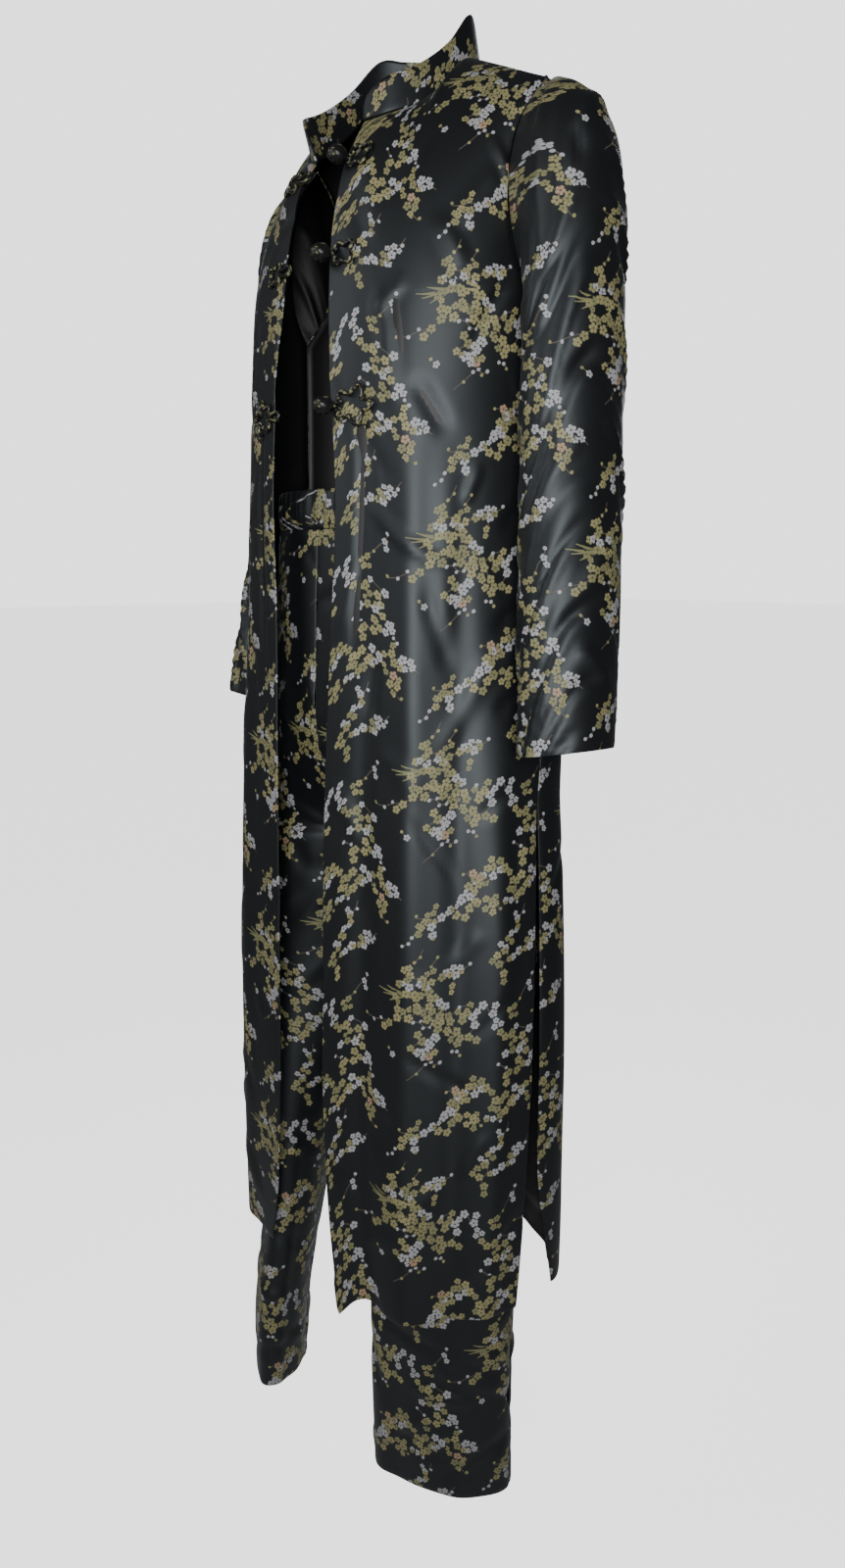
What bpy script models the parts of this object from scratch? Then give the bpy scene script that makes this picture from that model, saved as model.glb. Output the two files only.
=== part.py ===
# Cheongsam pant set: an open stand-collar coat with side slits over straight trousers.
# Metres, Z up, the wearer faces -Y and the wearer's left is +X.  The origin lies between the
# side neck points, where the wearer's shoulders and neck carry the coat.
import bmesh
import bpy
import numpy as np

CLOTH = 0.0014          # thickness of the outer pieces
LINING = 0.0010         # thickness of the lining pieces
SEAM = 0.0003           # space left along a flat seam
TURN_SEAM = 0.0016      # space left where two pieces meet at an angle
ROUND = 0.90            # squareness of the body rings, 1 is an ellipse

UNDERARM_Z = -0.215
SLIT_TOP_Z = -0.600
NECK_SHARE = 0.52       # part of a front's top edge that is neckline, the rest is shoulder
BACK_NECK_SHARE = 0.40  # the same for each half of the back
HEM_BACK_Z = -1.118
COLLAR_HEIGHT = 0.038
BAND_TOP_Z = -0.372
BAND_HEIGHT = 0.036
CROTCH_Z = -0.700
CROTCH_DEPTH = 0.130    # height over which the legs open into the seat
LINING_EDGE = 0.045     # share of a front's width between its open edge and the lining
LINING_HEM = 0.028      # share of the height to the underarm that the lining leaves at the hem
LINING_TOP = 0.93       # share of the rise from the underarm where the lining stops

CORD = 0.0018           # radius of the frog cord
CORD_PAIR = 0.0023      # half the distance between the two strands of a frog's strap
CORD_LIFT = 1.08        # height of the cord's middle over the cloth, in its radii
FROG_START = 0.0028     # first point of the straight strands, from the open edge
LOOP_REACH = -0.0105    # tip of a right frog's loop, past the open edge
KNOT_REACH = 0.0045     # end of a left frog under its knot, short of the open edge
LOOP_WIDTH, KNOT_WIDTH = 1.7, 1.0   # bulge of the two kinds of end, in half strap widths
PETAL_DEPTH = 0.30      # share by which a frog's petals stand out and in
BALL = 0.0088           # radius of a ball knot
BALL_FLAT = 0.92        # height of a ball knot, in its width
BALL_OUT = (-0.20, -0.98, 0.0)  # way from a left frog's end to its knot
CLEAR = 0.0003          # space between a trim and the cloth under it
SIDE_TRIM = 0.02        # share of the last column that the lining stops short of a side seam
LINING_GAP = 0.0007     # space between an outer piece and its lining
SLEEVE_OUT = 0.0022     # the sleeve's first ring stands this far past the armhole edge
COLLAR_UP = 0.0037      # the collar's lower edge stands this far over the neckline
COLLAR_SIDE = 0.45      # part of the neckline where the collar starts to lean out and to taper
COLLAR_BACK_LEAN = -0.16        # the collar leans in by this share of its height at the back
COLLAR_LEAN = (0.12, 0.50)      # added lean at the left and right front ends
COLLAR_TAPER = (0.24, 0.00)     # share of its height lost towards the left and right ends
COLLAR_CORNER = 0.86    # part of the neckline where its front corners start to round
COLLAR_END = 0.40       # height of the collar's end under its round corner, as a share

ROWS_BELOW, ROWS_ABOVE, COLUMNS = 13, 7, 12
SLEEVE_ROWS, SLEEVE_COLUMNS = 17, 20
SEAT_ROWS, LEG_ROWS, LEG_COLUMNS = 8, 14, 9
COLLAR_COLUMNS, BAND_COLUMNS = 28, 32

# reach: how far the ring stands out in front or behind the side line
BODY_RINGS = (
    ("height", "half_width", "left_front", "right_front", "back"),
    (-1.160, 0.206, 0.152, 0.146, 0.074),
    (-1.030, 0.206, 0.152, 0.150, 0.086),
    (-0.900, 0.205, 0.151, 0.151, 0.091),
    (-0.760, 0.199, 0.150, 0.149, 0.093),
    (-0.620, 0.187, 0.149, 0.145, 0.094),
    (-0.500, 0.176, 0.147, 0.141, 0.093),
    (-0.380, 0.170, 0.144, 0.137, 0.092),
    (-0.290, 0.168, 0.141, 0.133, 0.095),
    (-0.215, 0.168, 0.134, 0.127, 0.097),
)

# the two open edges
LEFT_EDGE = (
    ("height", "x", "y"),
    (-1.160, 0.072, -0.147),
    (-1.060, 0.058, -0.148),
    (-0.960, 0.051, -0.148),
    (-0.820, 0.053, -0.148),
    (-0.600, 0.056, -0.143),
    (-0.490, 0.062, -0.140),
    (-0.380, 0.067, -0.138),
    (-0.300, 0.061, -0.136),
    (-0.215, 0.052, -0.131),
    (-0.140, 0.044, -0.117),
    (-0.100, 0.041, -0.103),
    (-0.062, 0.038, -0.080),
)
RIGHT_EDGE = (
    ("height", "x", "y"),
    (-1.160, -0.062, -0.136),
    (-1.060, -0.036, -0.144),
    (-0.960, -0.024, -0.147),
    (-0.820, -0.022, -0.146),
    (-0.600, -0.024, -0.142),
    (-0.490, -0.027, -0.138),
    (-0.380, -0.036, -0.133),
    (-0.300, -0.034, -0.130),
    (-0.215, -0.028, -0.124),
    (-0.140, -0.034, -0.108),
    (-0.100, -0.036, -0.094),
    (-0.080, -0.034, -0.080),
)

# armhole edge, by its share of the rise from underarm to shoulder
ARMHOLE = (
    ("rise", "x", "front_y", "back_y"),
    (0.00, 0.1680, 0.000, 0.000),
    (0.12, 0.1640, -0.014, 0.016),
    (0.35, 0.1600, -0.024, 0.034),
    (0.60, 0.1580, -0.022, 0.040),
    (0.85, 0.1600, -0.006, 0.032),
    (1.00, 0.1630, 0.014, 0.014),
)

# neckline of one half, from the middle of the back to the front corner
NECKLINE = (
    ("part", "x", "y", "z"),
    (0.00, 0.000, 0.060, -0.006),
    (0.18, 0.030, 0.055, -0.004),
    (0.36, 0.055, 0.040, 0.001),
    (0.50, 0.069, 0.018, 0.002),
    (0.64, 0.073, -0.012, -0.026),
    (0.78, 0.068, -0.045, -0.048),
    (0.90, 0.055, -0.070, -0.058),
    (1.00, 0.036, -0.080, -0.061),
)
SIDE_NECK = (0.069, 0.018, 0.002)
SHOULDER_TIP = (0.163, 0.014, -0.038)

# slit edges under the slit's top
SLIT = (
    ("height", "front_y", "back_y"),
    (-1.160, -0.042, 0.020),
    (-1.090, -0.036, 0.004),
    (-1.030, -0.032, -0.008),
    (-0.880, -0.024, -0.010),
    (-0.720, -0.015, -0.006),
    (-0.640, -0.008, -0.003),
    (-0.600, 0.000, 0.000),
)

HEM_LEFT = (
    ("part", "height"),
    (0.00, -1.150),
    (0.12, -1.128),
    (0.30, -1.136),
    (0.65, -1.130),
    (1.00, -1.124),
)
HEM_RIGHT = (
    ("part", "height"),
    (0.00, -1.128),
    (0.30, -1.122),
    (0.65, -1.128),
    (1.00, -1.124),
)

# sleeve sections by their share of the way down
LEFT_SLEEVE = (
    ("part", "outer_x", "outer_z", "inner_x", "inner_z", "middle_y", "half_depth"),
    (0.00, 0.163, -0.038, 0.1680, -0.215, 0.010, 0.034),
    (0.07, 0.206, -0.056, 0.1740, -0.224, 0.008, 0.043),
    (0.14, 0.232, -0.084, 0.1760, -0.236, 0.005, 0.046),
    (0.23, 0.244, -0.140, 0.1775, -0.256, 0.002, 0.047),
    (0.34, 0.249, -0.215, 0.1785, -0.290, 0.000, 0.047),
    (0.48, 0.252, -0.300, 0.1795, -0.345, -0.002, 0.047),
    (0.62, 0.256, -0.385, 0.1820, -0.410, -0.005, 0.047),
    (0.76, 0.261, -0.470, 0.1870, -0.485, -0.009, 0.047),
    (0.88, 0.266, -0.540, 0.1940, -0.548, -0.015, 0.045),
    (1.00, 0.270, -0.592, 0.2010, -0.603, -0.021, 0.044),
)
RIGHT_SLEEVE = (
    ("part", "outer_x", "outer_z", "inner_x", "inner_z", "middle_y", "half_depth"),
    (0.00, 0.163, -0.038, 0.1680, -0.215, 0.010, 0.034),
    (0.07, 0.200, -0.060, 0.1740, -0.224, 0.012, 0.043),
    (0.14, 0.222, -0.090, 0.1760, -0.236, 0.014, 0.046),
    (0.23, 0.235, -0.145, 0.1775, -0.256, 0.016, 0.046),
    (0.34, 0.243, -0.218, 0.1785, -0.290, 0.018, 0.046),
    (0.48, 0.248, -0.300, 0.1795, -0.345, 0.018, 0.046),
    (0.62, 0.254, -0.380, 0.1830, -0.405, 0.014, 0.046),
    (0.76, 0.261, -0.458, 0.1890, -0.474, 0.006, 0.045),
    (0.88, 0.267, -0.524, 0.1950, -0.535, -0.004, 0.044),
    (1.00, 0.272, -0.574, 0.2010, -0.586, -0.012, 0.043),
)

SEAT_RINGS = (
    ("height", "half_width", "front", "back"),
    (-0.7200, 0.1640, 0.114, 0.0780),
    (-0.6200, 0.1620, 0.115, 0.0790),
    (-0.5200, 0.1560, 0.113, 0.0790),
    (-0.4400, 0.1460, 0.110, 0.0770),
    (-0.4083, 0.1410, 0.108, 0.0760),
)
LEFT_LEG = (
    ("height", "x", "y", "half_width", "half_depth", "twist"),
    (-1.354, 0.099, -0.040, 0.071, 0.033, 0.56),
    (-1.240, 0.094, -0.038, 0.072, 0.040, 0.54),
    (-1.100, 0.090, -0.032, 0.075, 0.054, 0.40),
    (-0.920, 0.087, -0.024, 0.078, 0.074, 0.14),
    (-0.780, 0.084, -0.019, 0.080, 0.090, 0.00),
    (-0.700, 0.083, -0.018, 0.0815, 0.095, 0.00),
)
RIGHT_LEG = (
    ("height", "x", "y", "half_width", "half_depth", "twist"),
    (-1.312, -0.122, -0.086, 0.026, 0.064, 0.84),
    (-1.240, -0.119, -0.085, 0.028, 0.068, 0.83),
    (-1.130, -0.110, -0.072, 0.030, 0.068, 0.80),
    (-1.020, -0.102, -0.062, 0.036, 0.070, 0.68),
    (-0.900, -0.093, -0.042, 0.056, 0.078, 0.35),
    (-0.790, -0.086, -0.024, 0.076, 0.088, 0.05),
    (-0.700, -0.083, -0.018, 0.0815, 0.095, 0.00),
)

# soft folds: place across, width and depth of the ridge (minus is a trough), its two heights,
# how far it wanders across on the way down
FOLD_COLUMNS = ("across", "width", "depth", "top", "bottom", "wander")
LEFT_FRONT_FOLDS = (
    FOLD_COLUMNS,
    (0.20, 0.060, -0.0055, -0.330, -1.300, -0.02),
    (0.36, 0.080, 0.0060, -0.200, -1.300, 0.03),
    (0.58, 0.075, -0.0050, -0.300, -1.300, 0.04),
    (0.80, 0.070, 0.0045, -0.500, -1.300, 0.02),
)
RIGHT_FRONT_FOLDS = (
    FOLD_COLUMNS,
    (0.24, 0.070, 0.0040, -0.300, -1.300, 0.02),
    (0.50, 0.080, -0.0050, -0.350, -1.300, -0.03),
    (0.76, 0.070, 0.0050, -0.400, -1.300, 0.02),
)
BACK_FOLDS = (
    FOLD_COLUMNS,
    (-0.66, 0.080, -0.0050, -0.350, -1.300, -0.03),
    (-0.34, 0.090, 0.0060, -0.300, -1.300, 0.02),
    (-0.02, 0.080, -0.0050, -0.250, -1.300, 0.03),
    (0.30, 0.090, 0.0055, -0.320, -1.300, -0.02),
    (0.64, 0.080, -0.0045, -0.360, -1.300, 0.02),
)
LEG_FOLDS = (
    FOLD_COLUMNS,
    (0.30, 0.100, -0.0035, -0.600, -1.500, 0.03),
    (0.62, 0.100, 0.0040, -0.640, -1.500, -0.03),
)

# the frogs: height on the open edge, length of the strap, size of the flower
FROGS = (
    ("height", "strap", "flower", "petals"),
    (-0.098, 0.007, 0.0085, 4),
    (-0.181, 0.007, 0.0085, 4),
    (-0.307, 0.008, 0.0130, 5),
)


def column(table, name):
    k = table[0].index(name)
    return np.array([row[k] for row in table[1:]], float)


def along(table, key, name, value):
    """Smooth curve through one column of a table against another (cubic with local slopes)."""
    x, y = column(table, key), column(table, name)
    slope = np.gradient(y, x)
    value = np.clip(np.asarray(value, float), x[0], x[-1])
    i = np.clip(np.searchsorted(x, value, side="right") - 1, 0, len(x) - 2)
    h = x[i + 1] - x[i]
    t = (value - x[i]) / h
    return ((2 * t**3 - 3 * t**2 + 1) * y[i] + (t**3 - 2 * t**2 + t) * h * slope[i]
            + (3 * t**2 - 2 * t**3) * y[i + 1] + (t**3 - t**2) * h * slope[i + 1])


def stack(x, y, z):
    return np.stack(np.broadcast_arrays(x, y, z), -1)


def ring_point(half_width, reach, angle):
    """Point of a squarish ring: angle 0 in front, a quarter turn at the side."""
    s, c = np.sin(angle), np.cos(angle)
    return half_width * np.sign(s) * np.abs(s) ** ROUND, -reach * np.sign(c) * np.abs(c) ** ROUND


def ring_angle(share):
    """Angle whose squarish sine is the share."""
    return np.arcsin(np.clip(np.abs(share), 0, 1) ** (1 / ROUND)) * np.sign(share)


def normals(grid):
    across = np.gradient(grid, axis=1)
    up = np.gradient(grid, axis=0)
    n = np.cross(across, up)
    return n / np.maximum(np.linalg.norm(n, axis=-1, keepdims=True), 1e-9)


def fold_height(table, across, z):
    """Sum of soft ridges and troughs that run down the cloth and fade at its edges."""
    out = np.zeros(np.broadcast(across, z).shape)
    for a, width, depth, top, bottom, wander in table[1:]:
        down = np.clip((top - z) / (top - bottom), 0, 1)
        centre = a + wander * np.sin(3.0 * down)
        out += depth * np.exp(-((across - centre) / width) ** 2) * np.minimum(down * 3.0, 1.0)
    return out * np.clip((1 - np.abs(across)) / 0.12, 0, 1)


def climb(t):
    """Share of the rise and share of the chest depth left, from underarm 0 to shoulder 1."""
    g = 1 - (1 - t) ** 1.6
    return g, np.maximum(1 - g * g, 0) ** 0.6


def shoulder_line(x):
    k = (np.abs(x) - SIDE_NECK[0]) / (SHOULDER_TIP[0] - SIDE_NECK[0])
    return (SIDE_NECK[1] + (SHOULDER_TIP[1] - SIDE_NECK[1]) * k,
            SIDE_NECK[2] + (SHOULDER_TIP[2] - SIDE_NECK[2]) * k)


def top_edge(s, share, from_part, to_part):
    """Neckline for s up to the share, then the shoulder seam out to the tip."""
    part = from_part + (to_part - from_part) * np.clip(s / share, 0, 1)
    nx, ny, nz = (along(NECKLINE, "part", k, part) for k in ("x", "y", "z"))
    k = np.clip((s - share) / (1 - share), 0, 1)
    sx = SIDE_NECK[0] + (SHOULDER_TIP[0] - SIDE_NECK[0]) * k
    sy, sz = shoulder_line(sx)
    return np.where(s > share, sx, nx), np.where(s > share, sy, ny), np.where(s > share, sz, nz)


def front_grid(side, below, above, across):
    """Middle sheet of a front.  Rows climb on rings from the hem to the underarm, then bend to
    the neckline and shoulder.  Columns run from the open edge 0 to side seam and armhole 1."""
    left = side > 0
    edge, hem = (LEFT_EDGE, HEM_LEFT) if left else (RIGHT_EDGE, HEM_RIGHT)
    s = across[None, :]
    hem_z = along(hem, "part", "height", across)[None, :]
    z = hem_z + (UNDERARM_Z - hem_z) * below[:, None]
    half = along(BODY_RINGS, "height", "half_width", z)
    reach = along(BODY_RINGS, "height", "left_front" if left else "right_front", z)
    side_y = np.where(z < SLIT_TOP_Z, along(SLIT, "height", "front_y", z), 0.0) - SEAM / 2
    end = np.pi / 2 - ring_angle(-side_y / reach)
    start = ring_angle(side * along(edge, "height", "x", z) / half)
    x, y = ring_point(half, reach, start + (end - start) * s)
    y = y + (along(edge, "height", "y", z) - ring_point(half, reach, start)[1]) * (1 - s) ** 3
    low = stack(side * x, y, z)
    base_x, base_y, base_z = side * low[-1, :, 0], low[-1, :, 1], low[-1, :, 2]
    t = above[:, None]
    g, left_over = climb(t)
    top_x, top_y, top_z = top_edge(across, NECK_SHARE, 1.0, 0.5)
    top_x = top_x + (side * edge[-1][1] - NECKLINE[-1][1]) * (1 - across) ** 2
    top_z = top_z + (edge[-1][0] - NECKLINE[-1][3]) * (1 - across) ** 2
    top_y = top_y - TURN_SEAM / 2
    x = base_x + (top_x - base_x) * t
    y = top_y + (base_y - top_y) * left_over
    z = base_z + (top_z - base_z) * g
    x = x + (along(ARMHOLE, "rise", "x", g) - x[:, -1:]) * s ** 3
    y = y + (along(ARMHOLE, "rise", "front_y", g) - TURN_SEAM / 2 * g - y[:, -1:]) * s ** 3
    edge_z = z[:, :1]
    x = x + (side * along(edge, "height", "x", edge_z) - x[:, :1]) * (1 - s) ** 3
    y = y + (along(edge, "height", "y", edge_z) - y[:, :1]) * (1 - s) ** 3
    return np.concatenate([low, stack(side * x, y, z)[1:]], 0)


def back_grid(below, above, across):
    """Middle sheet of the back; columns run from the right side -1 to the left side 1."""
    s = across[None, :]
    z = HEM_BACK_Z + (UNDERARM_Z - HEM_BACK_Z) * below[:, None] + 0 * s
    tuck = 0.005 * np.clip((SLIT_TOP_Z - z) / 0.05, 0, 1)
    half = along(BODY_RINGS, "height", "half_width", z) - tuck
    reach = along(BODY_RINGS, "height", "back", z)
    side_y = np.where(z < SLIT_TOP_Z, along(SLIT, "height", "back_y", z), 0.0) + SEAM / 2
    end = np.pi / 2 - ring_angle(side_y / reach)
    x, y = ring_point(half, reach, end * s)
    low = stack(x, -y, z)
    t = above[:, None]
    g, left_over = climb(t)
    top_x, top_y, top_z = top_edge(np.abs(across), BACK_NECK_SHARE, 0.0, 0.5)
    top_x, top_y = top_x * np.sign(across), top_y + TURN_SEAM / 2
    x = low[-1, :, 0] + (top_x - low[-1, :, 0]) * t
    y = top_y + (low[-1, :, 1] - top_y) * left_over
    z = low[-1, :, 2] + (top_z - low[-1, :, 2]) * g
    w = np.abs(s) ** 3
    edge_x = np.where(s > 0, x[:, -1:], x[:, :1])
    edge_y = np.where(s > 0, y[:, -1:], y[:, :1])
    x = x + (along(ARMHOLE, "rise", "x", g) * np.sign(s) - edge_x) * w
    y = y + (along(ARMHOLE, "rise", "back_y", g) + TURN_SEAM / 2 * g - edge_y) * w
    return np.concatenate([low, stack(x, y, z)[1:]], 0)


def armhole_loop(turn):
    """Armhole edge as a loop: 0 underarm, a quarter at the front, a half at the shoulder."""
    g = 0.5 - 0.5 * np.cos(2 * np.pi * turn)
    y = np.where(turn <= 0.5, along(ARMHOLE, "rise", "front_y", g),
                 along(ARMHOLE, "rise", "back_y", g))
    return stack(along(ARMHOLE, "rise", "x", g), y,
                 UNDERARM_Z + (SHOULDER_TIP[2] - UNDERARM_Z) * g)


def sleeve_grid(side, down, turn):
    """Middle sheet of a sleeve: rows go down from the armhole, columns round from underarm."""
    table = LEFT_SLEEVE if side > 0 else RIGHT_SLEEVE
    ox, oz, ix, iz, my, hd = (along(table, "part", k, down[:, None]) for k in table[0][1:])
    c, s = np.cos(2 * np.pi * turn)[None, :], np.sin(2 * np.pi * turn)[None, :]
    k = 0.5 - 0.5 * c
    grid = stack(ix + (ox - ix) * k, my - hd * np.sign(s) * np.abs(s) ** 0.95, iz + (oz - iz) * k)
    hole = armhole_loop(turn) + np.array([SLEEVE_OUT, 0.0, 0.0])
    w = np.clip(1 - down / 0.10, 0, 1) ** 2
    grid = grid + (hole[None] - grid[:1]) * w[:, None, None]
    return grid * np.array([side, 1.0, 1.0])


def collar_grid(run, up):
    """Middle sheet of the standing collar: right front end -1, left front end 1."""
    part, right = np.abs(run), run < 0
    nx, ny, nz = (along(NECKLINE, "part", k, part) for k in ("x", "y", "z"))
    from_end = np.clip(2 * NECK_SHARE * (1 - part), 0, 1)
    x_shift = np.where(right, -RIGHT_EDGE[-1][1] - NECKLINE[-1][1], 0.0) * (1 - from_end) ** 2
    z_shift = np.where(right, RIGHT_EDGE[-1][0] - NECKLINE[-1][3], 0.0) * (1 - from_end) ** 2
    fall = np.gradient(nz) / np.hypot(np.gradient(nx * np.sign(run)), np.gradient(ny))
    lift = COLLAR_UP * (1 + fall ** 2)
    base = stack((nx + x_shift) * np.sign(run), ny, nz + z_shift + lift)
    away = stack(nx * np.sign(run), ny - 0.005, 0 * nx)
    away /= np.maximum(np.linalg.norm(away, axis=-1, keepdims=True), 1e-6)
    front = np.clip((part - COLLAR_SIDE) / (1 - COLLAR_SIDE), 0, 1)
    lean = COLLAR_BACK_LEAN + np.where(right, COLLAR_LEAN[1], COLLAR_LEAN[0]) * front ** 1.5
    corner = np.clip((part - COLLAR_CORNER) / (1 - COLLAR_CORNER), 0, 1)
    rise = COLLAR_HEIGHT * (COLLAR_END + (1 - COLLAR_END) * np.sqrt(1 - corner ** 2))
    rise = rise * (1 - np.where(right, COLLAR_TAPER[1], COLLAR_TAPER[0]) * front)
    u = up[:, None, None]
    return base + u * rise[None, :, None] * (np.array([0, 0, 1.0]) + lean[None, :, None] * away)


def seat_point(side, back, z, s):
    half = along(SEAT_RINGS, "height", "half_width", z)
    reach = along(SEAT_RINGS, "height", "back" if back else "front", z)
    x, y = ring_point(half, reach, s * np.pi / 2)
    return side * x, (-y if back else y)


def leg_point(side, z, angle):
    """Leg ring point; angle 0 in front, a quarter turn at the outseam."""
    table = LEFT_LEG if side > 0 else RIGHT_LEG
    cx, cy, hw, hd, twist = (along(table, "height", k, z) for k in table[0][1:])
    u, v = ring_point(hw, hd, angle)
    u = u * side
    return cx + u * np.cos(twist) - v * np.sin(twist), cy + u * np.sin(twist) + v * np.cos(twist)


def leg_grid(side, back, z, across):
    """A front or back piece of the trousers: columns from middle seam and inseam 0 to outseam 1.
    Over the crotch the leg ring opens into the seat ring along a quarter round."""
    s = across[None, :]
    z = z[:, None] + 0 * s
    angle = (s - 0.5) * np.pi
    x, y = leg_point(side, z, np.pi - angle if back else angle)
    low = np.clip(1 - (z - CROTCH_Z) / CROTCH_DEPTH, 0, 1)
    open_share = np.sqrt(np.maximum(1 - low * low, 0))
    sx, sy = seat_point(side, back, z, s)
    x, y = x + (sx - x) * open_share, y + (sy - y) * open_share
    y = y + (1 if back else -1) * (SEAM / 2 * (1 + 2 * s ** 4) + TURN_SEAM / 2 * (1 - s) ** 4)
    return stack(x + side * 0.0006 * (1 - s) ** 2, y, z)


def band_grid(turn, up):
    """Middle sheet of the waistband, a closed strip round the top of the seat rings."""
    z = (BAND_TOP_Z - BAND_HEIGHT + BAND_HEIGHT * up)[:, None] + 0 * turn[None, :]
    half_width, front_reach, back_reach = SEAT_RINGS[-1][1:]
    angle = 2 * np.pi * turn
    x, front_y = ring_point(half_width, front_reach, angle)
    back_y = ring_point(half_width, back_reach, angle)[1]
    return stack(x[None, :], np.where(np.cos(angle) > 0, front_y, back_y)[None, :], z)


def folded(grid, table, across, side=1):
    z = grid[..., 2]
    return grid + side * normals(grid) * fold_height(table, across[None, :], z)[..., None]


def lining_of(grid, out):
    """Lining sheet: the same points moved in, short of the hem and of the top edge."""
    inner = (grid - out * normals(grid) * (CLOTH / 2 + LINING_GAP + LINING / 2))[1:-1]
    inner[:, -1] += (inner[:, -2] - inner[:, -1]) * SIDE_TRIM
    inner[:, 0] += (inner[:, 1] - inner[:, 0]) * SIDE_TRIM
    return inner


def material(name, colour, rough, sheen=0.0):
    m = bpy.data.materials.new(name)
    m.use_nodes = True
    shader = m.node_tree.nodes["Principled BSDF"]
    shader.inputs["Base Color"].default_value = (*colour, 1.0)
    shader.inputs["Roughness"].default_value = rough
    shader.inputs["Sheen Weight"].default_value = sheen
    m.diffuse_color = (*colour, 1.0)
    return m


def sheet(name, grid, thickness, look, closed=False, inward=0.0):
    """Closed solid from a middle sheet: the sheet thickened by the same amount on both faces."""
    rows, cols = grid.shape[:2]
    index = np.arange(rows * cols).reshape(rows, cols)
    if closed:
        index = np.concatenate([index, index[:, :1]], 1)
    quads = np.stack([index[:-1, :-1], index[:-1, 1:], index[1:, 1:], index[1:, :-1]], -1)
    mesh = bpy.data.meshes.new(name)
    mesh.from_pydata(grid.reshape(-1, 3).tolist(), [], quads.reshape(-1, 4).tolist())
    mesh.update()
    ob = bpy.data.objects.new(name, mesh)
    solid = ob.modifiers.new("thickness", "SOLIDIFY")
    solid.thickness = thickness
    solid.offset = inward
    solid.use_even_offset = True
    solid.use_rim = True
    mesh.materials.append(look)
    home.objects.link(ob)
    return ob


def cord(name, points, look):
    """A round cord along a closed line."""
    curve = bpy.data.curves.new(name, "CURVE")
    curve.dimensions = "3D"
    line = curve.splines.new("POLY")
    line.points.add(len(points) - 1)
    line.points.foreach_set("co", np.c_[points, np.ones(len(points))].ravel())
    line.use_cyclic_u = True
    curve.bevel_depth = CORD
    curve.bevel_resolution = 1
    curve.materials.append(look)
    ob = bpy.data.objects.new(name, curve)
    home.objects.link(ob)
    return ob


def knot(name, place, look):
    """A ball knot, a little flattened."""
    ball = bmesh.new()
    bmesh.ops.create_uvsphere(ball, u_segments=12, v_segments=8, radius=BALL)
    bmesh.ops.scale(ball, vec=(1, 1, BALL_FLAT), verts=ball.verts)
    bmesh.ops.translate(ball, vec=place, verts=ball.verts)
    mesh = bpy.data.meshes.new(name)
    ball.to_mesh(mesh)
    ball.free()
    mesh.materials.append(look)
    home.objects.link(bpy.data.objects.new(name, mesh))


def cloth_height(fine, x, z):
    """Forward place and outward direction of the front sheet at a place seen from the front."""
    flat = fine.reshape(-1, 3)
    n = normals(fine).reshape(-1, 3)
    d = (flat[None, :, 0] - x[:, None]) ** 2 + (flat[None, :, 2] - z[:, None]) ** 2
    near = np.argsort(d, axis=1)[:, :4]
    w = 1 / (np.take_along_axis(d, near, 1) + 1e-8)
    w /= w.sum(1, keepdims=True)
    return (flat[near, 1] * w).sum(1), (n[near] * w[..., None]).sum(1)


def frog_line(side, height, strap, flower, petals):
    """Centre line of one frog: out from the open edge, round the petals and back."""
    edge = LEFT_EDGE if side > 0 else RIGHT_EDGE
    edge_x = float(along(edge, "height", "x", height))
    turn = np.linspace(0, 1, 34, endpoint=False)
    open_angle = np.arcsin(CORD_PAIR / (flower * (1 - PETAL_DEPTH)))
    a = np.pi + open_angle + (2 * np.pi - 2 * open_angle) * turn
    r = flower * (1 + PETAL_DEPTH * np.cos(petals * (a - np.pi) + np.pi))
    head = np.stack([strap + flower + r * np.cos(a), r * np.sin(a)], 1)
    reach = LOOP_REACH if side < 0 else KNOT_REACH
    tip = np.linspace(-np.pi / 2, np.pi / 2, 5)
    bulge = CORD_PAIR * (LOOP_WIDTH if side < 0 else KNOT_WIDTH)
    end = np.stack([reach + bulge - bulge * np.cos(tip), -bulge * np.sin(tip)], 1)
    straight = np.linspace(max(FROG_START, reach + bulge), strap + PETAL_DEPTH * flower * 0.8, 4)
    lower = np.stack([straight, 0 * straight - CORD_PAIR], 1)
    upper = np.stack([straight[::-1], 0 * straight + CORD_PAIR], 1)
    line = np.concatenate([lower, head, upper, end])
    return edge_x + side * line[:, 0], height + line[:, 1]


for old in list(bpy.data.objects):
    bpy.data.objects.remove(old, do_unlink=True)
home = bpy.data.collections.new("cheongsam_pant_set")
bpy.context.scene.collection.children.link(home)

brocade = material("black_brocade", (0.045, 0.045, 0.048), 0.42, 0.25)
black_lining = material("black_lining", (0.012, 0.012, 0.013), 0.60)
trim_cloth = material("black_trim_satin", (0.020, 0.020, 0.022), 0.38)

below = np.r_[0, np.linspace(LINING_HEM, 1, ROWS_BELOW)]
above = np.r_[np.linspace(0, 0.82, ROWS_ABOVE), LINING_TOP, 1]
across = np.r_[0, np.linspace(LINING_EDGE, 1, COLUMNS - 1)]
half = np.linspace(0, 1, COLUMNS)
both = np.concatenate([-half[:0:-1], half])

for side, word, folds in ((1, "left", LEFT_FRONT_FOLDS), (-1, "right", RIGHT_FRONT_FOLDS)):
    grid = folded(front_grid(side, below, above, across), folds, across, side)
    inner = lining_of(grid, side)[:, 1:]
    sheet("front_" + word, grid if side > 0 else grid[:, ::-1], CLOTH, brocade)
    sheet("lining_front_" + word, inner if side > 0 else inner[:, ::-1], LINING, black_lining)

grid = folded(back_grid(below, above, both), BACK_FOLDS, both, -1)
sheet("back", grid[:, ::-1], CLOTH, brocade)
sheet("lining_back", lining_of(grid, -1)[:, ::-1], LINING, black_lining)

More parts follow.
